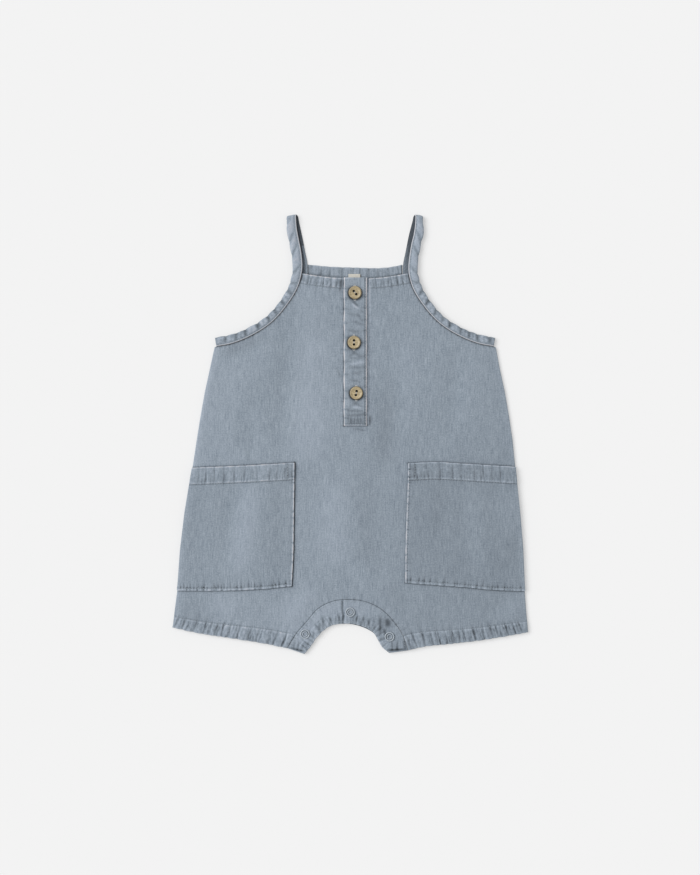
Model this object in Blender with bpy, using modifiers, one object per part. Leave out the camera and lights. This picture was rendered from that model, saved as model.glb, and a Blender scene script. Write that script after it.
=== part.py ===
"""A baby's shortall in washed cotton chambray, lying flat on its back.

Each piece that a maker would cut, bind or sew on is one closed wall of cloth: the front and the
back panel, two patch pockets, the two strips of the button placket, the bindings that run up the
armholes and on as straps, the snap bands of the crotch, and the neck label. Three buttons and
three snap rings lie on them. The pieces are 0.3 mm apart at their seams.

The frame is metres, +Z up, +Y towards the straps and +X to the right as seen from above. Its
origin is the middle of the footprint, on the surface that the garment lies on. Lengths below are
millimetres until the last step, which turns them into metres.
"""

import math
import random
from collections import namedtuple

import bmesh
import bpy
import numpy as np
from mathutils.geometry import delaunay_2d_cdt

MM = 0.001

# Cloth layers.
WALL = 1.3              # a front panel, pocket or strip
BACK_WALL = 1.2         # the back, which the rest lies on
GAP = 0.3               # clear space at every seam and between layers
SEAM_FLOOR = BACK_WALL + GAP
HEM_RISE = 0.7          # how far a turned hem stands above the panel
GROOVE = 0.22           # depth of the dent that a row of stitches pulls in

# Mesh fineness.
FRONT_GRID = 12.0
POCKET_GRID = 12.0
PLAIN_GRID = 22.0
SIDE_STEP = 20.0
PLAIN_STEP = 6.5        # along a binding with no puckers

# The body, as sections from hem to chest: the side seams stand half_width either side of the
# line x = lean, and the middle of the front is lifted by lift above the seams.
Section = namedtuple("Section", "y half_width lean lift")
BODY = [
    Section(-210.0, 171.3, -0.5, 0.3),
    Section(-187.5, 168.9, 0.0, 0.8),
    Section(-165.0, 166.8, 0.5, 1.4),
    Section(-142.0, 165.1, 1.2, 1.9),
    Section(-108.0, 163.1, 1.8, 2.3),
    Section(-74.0, 159.6, 2.6, 2.5),
    Section(-51.0, 156.6, 3.3, 2.5),
    Section(-28.0, 153.2, 4.0, 2.5),
    Section(-5.0, 149.9, 4.5, 2.5),
    Section(17.0, 146.5, 4.9, 2.4),
    Section(40.0, 142.6, 5.0, 2.4),
    Section(63.0, 137.6, 4.9, 2.4),
    Section(84.0, 133.2, 4.9, 2.3),
    Section(170.0, 133.2, 4.9, 2.3),
]

# The soft folds: ridges and, where height is below zero, troughs.
Fold = namedtuple("Fold", "x y length width height turn")
FRONT_FOLDS = [
    Fold(-42.0, 92.0, 120.0, 17.0, 0.7, -2),
    Fold(-37.0, 6.0, 66.0, 18.0, 0.6, 4),
    Fold(-66.0, 47.0, 120.0, 17.0, -0.6, -4),
    Fold(-93.0, 32.0, 50.0, 16.0, -0.4, -32),
    Fold(-100.0, -2.0, 30.0, 15.0, -0.5, 0),
    Fold(38.0, 16.0, 85.0, 15.0, -0.6, -7),
    Fold(52.0, 42.0, 100.0, 17.0, 0.6, -3),
    Fold(92.0, 44.0, 76.0, 16.0, -0.4, -6),
    Fold(112.0, 40.0, 80.0, 16.0, 0.4, -8),
    Fold(7.0, -88.0, 100.0, 17.0, -0.5, 4),
    Fold(-16.0, -78.0, 70.0, 17.0, 0.5, 2),
    Fold(14.0, -136.0, 30.0, 15.0, 0.5, 8),
    Fold(-119.0, -163.0, 26.0, 15.0, 0.4, 50),
    Fold(-45.0, -160.0, 40.0, 14.0, 0.5, -40),
    Fold(153.0, -162.0, 30.0, 14.0, 0.5, -35),
    Fold(47.0, -153.0, 30.0, 14.0, -0.4, 28),
]
POCKET_FOLDS = [
    Fold(-98.0, -96.0, 90.0, 13.0, 0.8, -5),
    Fold(-73.0, -91.0, 90.0, 11.0, -0.35, -2),
    Fold(-117.0, -77.0, 60.0, 12.0, -0.3, -4),
    Fold(-140.0, -100.0, 70.0, 12.0, 0.4, -9),
    Fold(84.0, -70.0, 45.0, 8.0, -0.3, 0),
    Fold(120.0, -92.0, 80.0, 14.0, 0.5, 5),
    Fold(152.0, -112.0, 40.0, 9.0, -0.3, -35),
]

# Edges, each listed with the cloth on the left of its direction of travel.
LEG_LEFT = [(-168.9, -183.1), (-141.0, -188.7), (-106.2, -193.5), (-78.3, -198.5), (-59.9, -202.8)]
LEG_RIGHT = [(55.3, -204.9), (65.7, -202.2), (93.7, -198.5), (121.5, -194.9), (149.4, -190.1),
             (168.9, -187.7)]
CROTCH_SEAM = [(-59.7, -202.9), (-51.3, -189.3), (-41.1, -177.5), (-30.1, -165.1), (-15.7, -158.1),
               (0.4, -156.7), (14.8, -158.7), (29.3, -165.6), (42.8, -179.2), (50.4, -191.0),
               (55.1, -205.0)]
CROTCH_EDGE = [(-43.3, -208.4), (-35.2, -197.8), (-24.2, -185.9), (-15.7, -180.8), (-7.2, -179.6),
               (1.2, -179.6), (9.8, -181.6), (18.2, -185.4), (27.6, -196.1), (37.9, -207.3)]
BACK_CROTCH_EDGE = [(-43.0, -208.2), (-35.0, -197.6), (-24.0, -185.7), (-15.5, -180.9), (-7.2, -180.0),
                    (1.2, -180.3), (9.8, -182.4), (17.8, -186.3), (26.8, -196.8), (37.2, -207.6)]
NECK_LEFT = [(-2.9, 147.7), (-16.0, 148.4), (-31.0, 150.2), (-45.3, 152.5)]
NECK_RIGHT = [(55.5, 152.5), (42.0, 150.3), (30.0, 148.6), (18.1, 147.7)]
BACK_NECK = [(50.3, 161.1), (38.6, 158.8), (28.9, 157.9), (5.0, 158.3), (-15.4, 158.9), (-40.1, 161.1)]

# Where the stitching pulls each edge into a crease: distances along the edge in its direction of
# travel. The cloth puffs up between one crease and the next.
LEG_LEFT_CREASES = [2.5, 9.5, 20.0, 29.5, 35.0, 41.0, 47.0, 53.5, 62.0, 72.5, 80.5, 91.5, 97.0, 105.5]
LEG_RIGHT_CREASES = [3.5, 9.5, 17.5, 24.5, 31.0, 38.0, 44.5, 50.5, 55.5, 65.0, 73.5, 81.5, 87.0, 96.5,
                     103.5, 109.5]
NECK_LEFT_CREASES = [4.8, 9.5, 15.0, 22.0, 27.5, 36.0]
NECK_RIGHT_CREASES = [6.0, 11.0, 17.0, 24.0, 31.0]
BACK_NECK_CREASES = [5.0, 14.0, 23.0, 32.0, 40.0, 47.0, 57.0, 69.0, 77.0, 87.0]
CROTCH_CREASES = [5.0, 10.0, 18.0, 26.5, 33.5, 39.0, 45.5, 49.7, 56.5, 60.6, 66.0, 72.0, 78.0, 84.0, 89.5,
                  96.0]
MOUTH_LEFT_CREASES = [8.5, 16.0, 23.0, 35.5, 47.0, 56.5, 66.5, 76.0, 84.0, 90.5]
MOUTH_RIGHT_CREASES = [15.0, 23.0, 31.5, 40.0, 52.5, 60.5, 73.5, 85.0, 96.5]
BOTTOM_LEFT_CREASES = [6.5, 13.0, 18.5, 25.0, 35.0, 42.0, 50.5, 56.5, 61.5, 68.5, 73.5, 79.5, 91.0, 97.0,
                       103.5]
BOTTOM_RIGHT_CREASES = [4.5, 12.5, 18.0, 23.5, 29.5, 37.0, 46.5, 56.5, 62.0, 67.5, 73.5, 82.5, 88.0, 94.0,
                        102.0, 110.0]
BINDING_LEFT_CREASES = [9.5, 20.0, 29.5, 43.0, 55.5, 65.0, 76.0, 88.5, 98.0, 111.0, 121.0, 131.5, 144.5]
BINDING_RIGHT_CREASES = [4.5, 16.5, 25.0, 34.0, 46.0, 54.5, 64.0, 76.5, 87.5, 102.5, 111.0, 121.5, 131.0,
                         144.5]
OVER_LEFT_CREASES = [10.5, 20.5, 30.0, 43.0, 57.0, 68.5, 80.0, 92.0, 107.5, 114.5, 125.0, 133.0]
OVER_RIGHT_CREASES = [11.0, 27.5, 37.0, 45.0, 55.5, 66.0, 79.0, 90.0, 100.0, 112.0, 122.5]

# Leg hems are deeper towards the crotch.
LEG_HEM_SIDE = 10.5
LEG_HEM_CROTCH = 14.5
NECK_HEM = 9.3
BACK_NECK_HEM = 9.0
CROTCH_HEM = 11.0

# The placket: the under strip fills a slot in the front and the over strip covers it.
SLOT_LEFT, SLOT_RIGHT, SLOT_BOTTOM = -2.9, 18.1, 8.5
OVER_LEFT, OVER_RIGHT, OVER_BOTTOM, OVER_TOP = -5.0, 15.6, 8.1, 150.0
OVER_WALL = 1.4
OVER_PAD = 0.3          # how far the strip's middle stands above its stitched edges
OVER_PUFF_REACH = 5.0

# Pockets reach the side seams and stand a little proud of them.
POCKET_PROUD = 0.7
POCKET_HEM = 16.0
POCKET_BULGE = 0.6
POCKET_STITCH = 2.2     # from the bottom edge to its row of stitches
POCKET_LEFT_TOP = [(-52.5, -26.8), (-97.9, -29.4), (-149.8, -31.6)]
POCKET_LEFT_BOTTOM = [(-164.4, -148.3), (-134.0, -148.3), (-106.2, -147.8), (-78.3, -146.2),
                      (-55.3, -143.9)]
POCKET_LEFT_INNER = [(-55.3, -143.9), (-53.9, -116.9), (-53.2, -75.1), (-52.5, -26.8)]
POCKET_RIGHT_TOP = [(158.4, -30.8), (135.5, -29.4), (107.5, -27.7), (79.7, -26.3), (54.9, -27.4)]
POCKET_RIGHT_BOTTOM = [(52.3, -140.7), (79.7, -142.7), (107.5, -144.8), (135.5, -147.5), (167.0, -148.7)]
POCKET_RIGHT_INNER = [(54.9, -27.4), (54.6, -47.2), (53.5, -75.1), (52.5, -109.9), (52.3, -140.7)]

# The bindings, from the side seam along the armhole and up the strap to its fold at the shoulder,
# then down the back. They mirror about the line x = BINDING_MIRROR.
BINDING_MIRROR = 5.1
Stop = namedtuple("Stop", "x y width")
BINDING_FRONT = [
    Stop(-127.6, 87.7, 8.5),
    Stop(-114.5, 89.9, 8.2),
    Stop(-95.3, 97.2, 7.6),
    Stop(-77.1, 108.8, 7.2),
    Stop(-63.1, 124.5, 7.4),
    Stop(-53.6, 140.8, 8.2),
    Stop(-49.9, 156.1, 9.0),
    Stop(-50.9, 171.7, 9.4),
    Stop(-53.2, 183.6, 9.5),
    Stop(-55.3, 195.3, 9.5),
    Stop(-56.0, 205.37, 9.5),
]
BINDING_BACK = [
    Stop(-56.0, 205.37, 9.5),
    Stop(-51.9, 193.6, 9.5),
    Stop(-49.3, 182.7, 9.5),
    Stop(-47.0, 171.3, 9.3),
    Stop(-45.2, 162.7, 9.2),
    Stop(-44.9, 151.3, 9.0),
    Stop(-49.9, 138.5, 8.6),
    Stop(-61.8, 121.0, 8.0),
    Stop(-77.7, 106.3, 8.0),
    Stop(-96.0, 95.2, 8.0),
    Stop(-114.0, 88.4, 8.2),
    Stop(-127.0, 86.1, 8.5),
]
BINDING_WALL = 1.6
BACK_BINDING_WALL = 1.2
BINDING_RAISE = 0.2     # the binding's underside above the front's
STRAP_TURN = 12.0       # degrees that the fold at the shoulder slants
STRAP_BASE = 3.0        # underside of the front strap at half length
FOLD_BASE = 3.5         # underside of the front strap where it folds
FOLD_REACH = 16.0       # length over which a strap turns into its fold
FOLD_STEPS = 6
SCALLOP = 0.6           # how far a puff pushes the binding's free edge out
PUFF = 0.55             # how high a puff stands on the binding
FLAT = (0.0, 0.0, 0.0)

# Fastenings.
BUTTON_CENTRES = [(4.7, 135.0), (3.8, 87.0), (5.7, 39.2)]
BUTTON_NAMES = ["button_top", "button_middle", "button_bottom"]
BUTTON_TURNS = [39.0, 0.0, -12.0]        # degrees that the line of holes leans from +Y to -X
BUTTON_HOLE_RADIUS = 0.95
BUTTON_HOLE_PITCH = 3.7
BUTTON_PROFILE = [(0.0, 1.5), (4.0, 1.6), (4.6, 2.1), (5.3, 2.35), (6.0, 2.1), (6.35, 1.3), (6.2, 0.6),
                  (5.3, 0.0), (0.0, 0.0)]
BUTTON_STEPS = 24
SNAP_CENTRES = {"snap_left": (-42.8, -189.3), "snap_centre": (0.0, -168.5), "snap_right": (37.3, -191.8)}
SNAP_RADIUS, SNAP_BEAD, SNAP_HEIGHT = 3.6, 0.95, 1.0
LABEL = [(-1.7, 138.0), (10.2, 138.0), (10.2, 152.1), (-1.7, 152.1)]
LABEL_BASE, LABEL_WALL = 2.4, 1.0


# ---- lines ----

def run_of(line):
    """Distance along a line at each of its points."""
    return np.concatenate(([0.0], np.cumsum(np.linalg.norm(np.diff(line, axis=0), axis=1))))


def points_at(line, runs):
    """The points that lie the given distances along a line."""
    at = run_of(line)
    return np.column_stack([np.interp(runs, at, line[:, axis]) for axis in range(line.shape[1])])


def smooth_line(points, step):
    """Evenly spaced points on the smooth curve through a few given ones."""
    knots = np.array(points, float)
    at = run_of(knots[:, :2])
    slopes = np.gradient(knots, at, axis=0)
    fine = np.linspace(0.0, at[-1], 12 * len(knots) + 1)
    cell = np.clip(np.searchsorted(at, fine, side="right") - 1, 0, len(knots) - 2)
    span = (at[cell + 1] - at[cell])[:, None]
    t = (fine - at[cell])[:, None] / span
    curve = ((2 * t**3 - 3 * t**2 + 1) * knots[cell] + (t**3 - 2 * t**2 + t) * span * slopes[cell]
             + (3 * t**2 - 2 * t**3) * knots[cell + 1] + (t**3 - t**2) * span * slopes[cell + 1])
    count = max(2, round(run_of(curve[:, :2])[-1] / step) + 1)
    return points_at(curve, np.linspace(0.0, run_of(curve)[-1], count))


def left_of(line):
    """Unit vectors to the left of a line's travel, at each of its points."""
    travel = np.gradient(line, axis=0)
    travel /= np.linalg.norm(travel, axis=1)[:, None]
    return np.column_stack([-travel[:, 1], travel[:, 0]])


def line_coords(line, spots):
    """How far along a line each spot is, and how far to the line's left."""
    steps = np.diff(line, axis=0)
    lengths = np.linalg.norm(steps, axis=1)
    travel = steps / lengths[:, None]
    away = spots[:, None, :] - line[None, :-1, :]
    run = np.clip((away * travel).sum(axis=2), 0.0, lengths)
    distance = np.linalg.norm(away - run[:, :, None] * travel, axis=2)
    nearest = distance.argmin(axis=1)
    row = np.arange(len(spots))
    offset = away[row, nearest]
    side = travel[nearest, 0] * offset[:, 1] - travel[nearest, 1] * offset[:, 0]
    return run_of(line)[nearest] + run[row, nearest], np.copysign(distance[row, nearest], side)


def smooth_step(value):
    """0 below 0, 1 above 1, and a smooth rise between."""
    t = np.clip(value, 0.0, 1.0)
    return t * t * (3 - 2 * t)


def joined(*lines):
    """One closed outline from lines that meet end to end."""
    points = [lines[0][0]]
    for point in np.vstack(lines):
        if np.linalg.norm(point - points[-1]) > 0.05:
            points.append(point)
    if np.linalg.norm(points[0] - points[-1]) < 0.05:
        points.pop()
    return np.array(points)


def side_line(side, low, high):
    """A side seam from y = low to y = high; side is -1 on the left and +1 on the right."""
    y = np.linspace(low, high, max(2, round(abs(high - low) / SIDE_STEP) + 1))
    return np.column_stack([body("lean", y) + side * body("half_width", y), y])


# ---- heights ----

def body(column, y):
    """A column of the body's sections, read at any height y."""
    return np.interp(y, [row.y for row in BODY], [getattr(row, column) for row in BODY])


def folds(table, spots):
    """Height of the soft folds in a table."""
    height = np.zeros(len(spots))
    for fold in table:
        turn = math.radians(fold.turn)
        x = spots[:, 0] - fold.x
        y = spots[:, 1] - fold.y
        along = (y * math.cos(turn) - x * math.sin(turn)) / (0.5 * fold.length)
        across = (x * math.cos(turn) + y * math.sin(turn)) / (0.7 * fold.width)
        height += fold.height * np.exp(-along**4 - across**2)
    return height


def front_floor(spots):
    """Underside of the front: a low pillow, pinched at the side seams, with its folds."""
    across = (spots[:, 0] - body("lean", spots[:, 1])) / body("half_width", spots[:, 1])
    pinch = 1 - np.clip(np.abs(across), 0.0, 1.0) ** 4
    return SEAM_FLOOR + (body("lift", spots[:, 1]) + folds(FRONT_FOLDS, spots)) * pinch


def front_skin(spots):
    """Upper side of the front, hems left out."""
    return front_floor(spots) + WALL


def puffs(creases, length, height, seed):
    """Creases with the line's two ends added, and the height of the puff after each of them."""
    marks = np.array([0.0, *creases, length])
    draw = random.Random(seed)
    gaps = np.diff(marks)
    uneven = np.array([draw.uniform(0.75, 1.1) for _ in gaps])
    return marks, height * uneven * np.minimum(1.15, np.sqrt(gaps / gaps.mean()))


def puff_height(marks, heights, run):
    """Height of the cloth between creases: rounded puffs that meet in sharp valleys."""
    cell = np.clip(np.searchsorted(marks, run, side="right") - 1, 0, len(heights) - 1)
    share = np.clip((run - marks[cell]) / (marks[cell + 1] - marks[cell]), 0.0, 1.0)
    return heights[cell] * np.sin(math.pi * share) ** 0.75


class Hem:
    """A turned and stitched edge, whose stitches draw the cloth into puffs between creases."""

    def __init__(self, points, depths, creases, height, rise=HEM_RISE, slant=0.0, reach=5.0, clear=0.0,
                 seed=1):
        self.line = smooth_line(points, 2.0)
        self.length = run_of(self.line)[-1]
        self.depths = depths
        self.rise = rise
        self.slant = slant
        self.reach = reach
        self.clear = clear
        self.creases, self.heights = puffs(creases, self.length, height, seed)

    def depth(self, run):
        """Distance from the edge to its row of stitches."""
        return np.interp(run, [0.0, self.length], self.depths)

    def relief(self, spots):
        """Height of the hem and its puffs above the plain panel."""
        run, inside = line_coords(self.line, spots)
        inside = np.abs(inside)
        depth = self.depth(run)
        band = self.rise * (1 - smooth_step((inside - depth + 1.0) / 1.6))
        dent = GROOVE * np.exp(-((inside - depth) / 1.0) ** 2)
        fade = np.where(inside < depth, 1.0, 0.6 * np.exp(-(inside - depth) / self.reach))
        start = smooth_step((run - self.clear) / 2.0) if self.clear else 1.0
        wave = puff_height(self.creases, self.heights, run - self.slant * inside)
        return (band + wave * fade) * start - dent

    def stations(self, parts=4):
        """Places along the edge at each crease, and evenly between one crease and the next."""
        marks = sorted({self.clear, *self.creases})
        runs = [a + (b - a) * i / parts for a, b in zip(marks, marks[1:]) for i in range(parts)]
        return np.array(sorted({0.0, *runs, self.length}))

    def edge(self, parts=4):
        """The edge's own points."""
        return points_at(self.line, self.stations(parts))

    def row(self, share, parts=4):
        """A row of points under the creases and puffs, at a share of the hem's depth."""
        runs = self.stations(parts)[1:-1]
        depths = share * self.depth(runs)
        runs = np.clip(runs + self.slant * depths, 1.0, self.length - 1.0)
        inward = np.column_stack([np.interp(runs, run_of(self.line), column)
                                  for column in left_of(self.line).T])
        return points_at(self.line, runs) + inward * depths[:, None]


def hem_rows(hems, shares=(0.45, 0.82, 1.0, 1.16)):
    """The inner rows of points of a few hems, with one sparser row beyond them."""
    rows = [hem.row(share) for hem in hems for share in shares]
    rows += [hem.row(1.0 + 5.0 / max(hem.depths), 2) for hem in hems]
    return np.vstack(rows)


# ---- solids ----

def inside_outline(outline, spots):
    """Which spots lie inside a closed outline."""
    x, y = spots[:, 0, None], spots[:, 1, None]
    x1, y1 = outline[None, :, 0], outline[None, :, 1]
    following = np.roll(outline, -1, axis=0)
    x2, y2 = following[None, :, 0], following[None, :, 1]
    crosses = (y1 > y) != (y2 > y)
    level = np.where(y2 == y1, 1.0, y2 - y1)
    return (crosses & (x < (x2 - x1) * (y - y1) / level + x1)).sum(axis=1) % 2 == 1


def grid_points(outline, spacing, taken):
    """A triangular grid inside an outline, clear of the outline and of the points already taken."""
    low, high = outline.min(axis=0), outline.max(axis=0)
    rows = []
    for index, y in enumerate(np.arange(low[1], high[1], spacing * math.sqrt(0.75))):
        x = np.arange(low[0] + (index % 2) * spacing / 2, high[0], spacing)
        rows.append(np.column_stack([x, np.full(len(x), y)]))
    spots = np.vstack(rows)
    spots = spots[inside_outline(outline, spots)]
    closed = np.vstack([outline, outline[:1]])
    spots = spots[np.abs(line_coords(closed, spots)[1]) > 0.5 * spacing]
    if len(taken):
        nearest = np.linalg.norm(spots[:, None, :] - taken[None, :, :], axis=2).min(axis=1)
        spots = spots[nearest > 0.5 * spacing]
    return spots


def kept_rows(outline, rows):
    """The points of the hem rows that are inside the outline and not crowded."""
    rows = rows[inside_outline(outline, rows)]
    closed = np.vstack([outline, outline[:1]])
    rows = rows[np.abs(line_coords(closed, rows)[1]) > 0.7]
    keep = []
    for point in rows:
        if all(np.linalg.norm(point - other) > 0.9 for other in keep):
            keep.append(point)
    return np.array(keep)


def fill(outline, inner):
    """Triangles between an outline and the points inside it, all facing up."""
    spots = np.vstack([outline, inner]) if len(inner) else outline
    edges = [(i, (i + 1) % len(outline)) for i in range(len(outline))]
    result = delaunay_2d_cdt([tuple(spot) for spot in spots], edges, [], 1, 1e-4)
    origins = [ids[0] for ids in result[3]]
    triangles = []
    for face in result[2]:
        a, b, c = (origins[i] for i in face)
        turn = np.cross(np.append(spots[b] - spots[a], 0), np.append(spots[c] - spots[a], 0))[2]
        triangles.append((a, b, c) if turn > 0 else (a, c, b))
    return spots, triangles


def wall(name, outline, top, bottom, material, rows=None, grid=PLAIN_GRID, under_grid=PLAIN_GRID):
    """A closed wall of cloth: a detailed upper side over a plain underside."""
    taken = kept_rows(outline, rows) if rows is not None else np.zeros((0, 2))
    upper = np.vstack([taken, grid_points(outline, grid, taken)])
    lower = grid_points(outline, under_grid, np.zeros((0, 2))) if under_grid else np.zeros((0, 2))
    spots, faces = fill(outline, upper)
    under_spots, under_faces = fill(outline, lower)
    count = len(spots)
    points = np.vstack([np.column_stack([spots, top(spots)]),
                        np.column_stack([under_spots, bottom(under_spots)])])
    faces += [(count + a, count + c, count + b) for a, b, c in under_faces]
    ring = len(outline)
    faces += [(count + i, count + (i + 1) % ring, (i + 1) % ring, i) for i in range(ring)]
    return add_piece(name, points, faces, material)


def add_piece(name, points, faces, material):
    """An object of the given points, in millimetres, in the garment's collection."""
    mesh = bpy.data.meshes.new(name)
    mesh.from_pydata([tuple(point) for point in np.asarray(points) * MM], [], faces)
    mesh.materials.append(material)
    piece = bpy.data.objects.new(name, mesh)
    garment.objects.link(piece)
    return piece


def make_material(name, colour, roughness):
    """A plain finish of one colour."""
    material = bpy.data.materials.new(name)
    material.use_nodes = True
    shader = material.node_tree.nodes["Principled BSDF"]
    shader.inputs["Base Color"].default_value = (*colour, 1.0)
    shader.inputs["Roughness"].default_value = roughness
    shader.inputs["Metallic"].default_value = 0.0
    return material


# ---- bindings and straps ----

def binding_path(stops, step):
    """Centre points and widths of a binding, at even steps."""
    line = smooth_line(stops, step)
    return line[:, :2], line[:, 2]


def binding_edge(stops, side, top):
    """The seam that a panel shares with a binding, from the side seam up to y = top."""
    line, width = binding_path(stops, PLAIN_STEP)
    seam = line + side * left_of(line) * (width / 2 + GAP)[:, None]
    if seam[0, 1] > seam[-1, 1]:
        seam = seam[::-1]
    cut = np.argmax(seam[:, 1] > top)
    share = (top - seam[cut - 1, 1]) / (seam[cut, 1] - seam[cut - 1, 1])
    corner = seam[cut - 1] + share * (seam[cut] - seam[cut - 1])
    return np.vstack([seam[:cut], corner])


def mirrored(line):
    """A line of the left half on the right half."""
    return np.column_stack([2 * BINDING_MIRROR - line[:, 0], line[:, 1]])


def binding_base(line):
    """Underside of the front binding and strap."""
    strap = np.interp(line[:, 1], [150.0, 180.0, 200.0, 205.0],
                      [STRAP_BASE + 0.8, STRAP_BASE, FOLD_BASE - 0.1, FOLD_BASE])
    share = smooth_step((line[:, 1] - 150.0) / 14.0)
    return (1 - share) * (front_floor(line) + BINDING_RAISE) + share * strap


def binding_rings(creases, seed):
    """Sections of a binding: centre, cross direction, normal, width, thickness and puff heights."""
    line, width = binding_path(BINDING_FRONT, 2.0)
    marks, heights = puffs(creases, run_of(line)[-1], 1.0, seed)
    runs = np.array([a + (b - a) * i / 4 for a, b in zip(marks, marks[1:]) for i in range(4)] + [marks[-1]])
    front = points_at(line, runs)
    front_width = np.interp(runs, run_of(line), width)
    back, back_width = binding_path(BINDING_BACK, PLAIN_STEP)

    turn = math.radians(STRAP_TURN)
    fold_across = np.array([math.cos(turn), math.sin(turn)])
    fold_travel = np.array([-math.sin(turn), math.cos(turn)])
    near_fold = smooth_step((runs - runs[-1]) / FOLD_REACH + 1.0)[:, None]
    front_across = -left_of(front) * (1 - near_fold) + fold_across * near_fold
    near_fold = (1 - smooth_step(run_of(back) / FOLD_REACH))[:, None]
    back_across = left_of(back) * (1 - near_fold) + fold_across * near_fold

    sections = []
    base = binding_base(front)
    shifted = [puff_height(marks, heights, runs + shift) for shift in (0.0, -1.0, 1.2)]
    for i, spot in enumerate(front):
        centre = (spot[0], spot[1], base[i] + BINDING_WALL / 2)
        puff = tuple(wave[i] for wave in shifted)
        sections.append((centre, (*front_across[i], 0.0), (0.0, 0.0, 1.0), front_width[i], BINDING_WALL, puff))
    top = sections[-1][0][2]
    radius = (top - BACK_BINDING_WALL / 2) / 2
    for i in range(1, FOLD_STEPS):
        angle = math.pi * i / FOLD_STEPS
        out = radius * math.sin(angle)
        centre = (front[-1][0] + fold_travel[0] * out, front[-1][1] + fold_travel[1] * out,
                  top - radius * (1 - math.cos(angle)))
        normal = (fold_travel[0] * math.sin(angle), fold_travel[1] * math.sin(angle), math.cos(angle))
        thick = BINDING_WALL + (BACK_BINDING_WALL - BINDING_WALL) * i / FOLD_STEPS
        sections.append((centre, (*fold_across, 0.0), normal, front_width[-1], thick, FLAT))
    for i, spot in enumerate(back):
        centre = (spot[0], spot[1], BACK_BINDING_WALL / 2)
        sections.append((centre, (*back_across[i], 0.0), (0.0, 0.0, -1.0), back_width[i], BACK_BINDING_WALL,
                         FLAT))
    return sections


def add_binding(name, creases, seed, mirror, material):
    """One binding and strap: a six-sided section carried along its whole path."""
    points = []
    for centre, across, normal, width, thick, (edge, outer, inner) in binding_rings(creases, seed):
        half = width / 2
        low = -thick / 2
        section = [
            (-half - SCALLOP * edge, low),
            (-half - SCALLOP * edge, 0.25 * thick),
            (-0.28 * width, thick / 2 + PUFF * outer),
            (0.22 * width, thick / 2 + 0.7 * PUFF * inner),
            (half, 0.15 * thick),
            (half, low),
        ]
        for sideways, up in section:
            points.append([centre[k] + across[k] * sideways + normal[k] * up for k in range(3)])
    points = np.array(points)
    sides = 6
    rings = len(points) // sides
    faces = [tuple(reversed(range(sides))), tuple((rings - 1) * sides + k for k in range(sides))]
    for ring in range(rings - 1):
        for side in range(sides):
            a = ring * sides + side
            b = ring * sides + (side + 1) % sides
            faces.append((a, b, b + sides, a + sides))
    if mirror:
        points[:, 0] = 2 * BINDING_MIRROR - points[:, 0]
        faces = [face[::-1] for face in faces]
    return add_piece(name, points, faces, material)


# ---- panels ----

def add_front(material):
    """The front, with its leg and neck hems and the slot of the placket."""
    left_leg = Hem(LEG_LEFT, (LEG_HEM_SIDE, LEG_HEM_CROTCH), LEG_LEFT_CREASES, 0.65, slant=0.15, seed=11)
    right_leg = Hem(LEG_RIGHT, (LEG_HEM_CROTCH, LEG_HEM_SIDE), LEG_RIGHT_CREASES, 0.65, slant=-0.15, seed=12)
    neck_left = Hem(NECK_LEFT, (NECK_HEM, NECK_HEM), NECK_LEFT_CREASES, 0.5, clear=2.8, seed=13)
    neck_right = Hem(NECK_RIGHT, (NECK_HEM, NECK_HEM), NECK_RIGHT_CREASES, 0.5, seed=14)
    hems = [left_leg, right_leg, neck_left, neck_right]
    seam = smooth_line(CROTCH_SEAM, 6.0)
    seam = seam + left_of(seam) * GAP / 2
    armhole = binding_edge(BINDING_FRONT, -1, NECK_LEFT[-1][1])
    outline = joined(
        left_leg.edge(),
        seam[1:-1],
        right_leg.edge(),
        side_line(1, LEG_RIGHT[-1][1], armhole[0][1] - 1.0),
        mirrored(armhole)[:-1],
        neck_right.edge(),
        np.array([(SLOT_RIGHT, 100.0), (SLOT_RIGHT, 55.0), (SLOT_RIGHT, SLOT_BOTTOM)]),
        np.array([(SLOT_LEFT, SLOT_BOTTOM), (SLOT_LEFT, 55.0), (SLOT_LEFT, 100.0)]),
        neck_left.edge(),
        armhole[::-1][1:],
        side_line(-1, armhole[0][1] - 1.0, LEG_LEFT[0][1]),
    )

    def skin(spots):
        return front_skin(spots) + sum(hem.relief(spots) for hem in hems)

    return wall("front_panel", outline, skin, front_floor, material, hem_rows(hems), FRONT_GRID, PLAIN_GRID)


def add_back(material):
    """The back: flat below, with its neck hem standing up inside."""
    neck = Hem(BACK_NECK, (BACK_NECK_HEM, BACK_NECK_HEM), BACK_NECK_CREASES, 0.35, rise=0.5, seed=21)
    seam = smooth_line(CROTCH_SEAM, 6.0)
    seam = seam + left_of(seam) * GAP / 2
    armhole = binding_edge(BINDING_BACK, 1, BACK_NECK[-1][1])
    outline = joined(
        smooth_line(LEG_LEFT, 14.0),
        seam[1:-1],
        smooth_line(LEG_RIGHT, 14.0),
        side_line(1, LEG_RIGHT[-1][1], armhole[0][1] - 1.0),
        mirrored(armhole)[:-1],
        neck.edge(),
        armhole[::-1][1:],
        side_line(-1, armhole[0][1] - 1.0, LEG_LEFT[0][1]),
    )

    def inner_face(spots):
        label_spot = np.exp(-((spots[:, 0] - 4.2) / 9.0) ** 4)
        return BACK_WALL + neck.relief(spots) * (1 - 0.35 * label_spot)

    return wall("back_panel", outline, inner_face, lambda spots: np.zeros(len(spots)), material,
                hem_rows([neck]), PLAIN_GRID, None)


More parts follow.
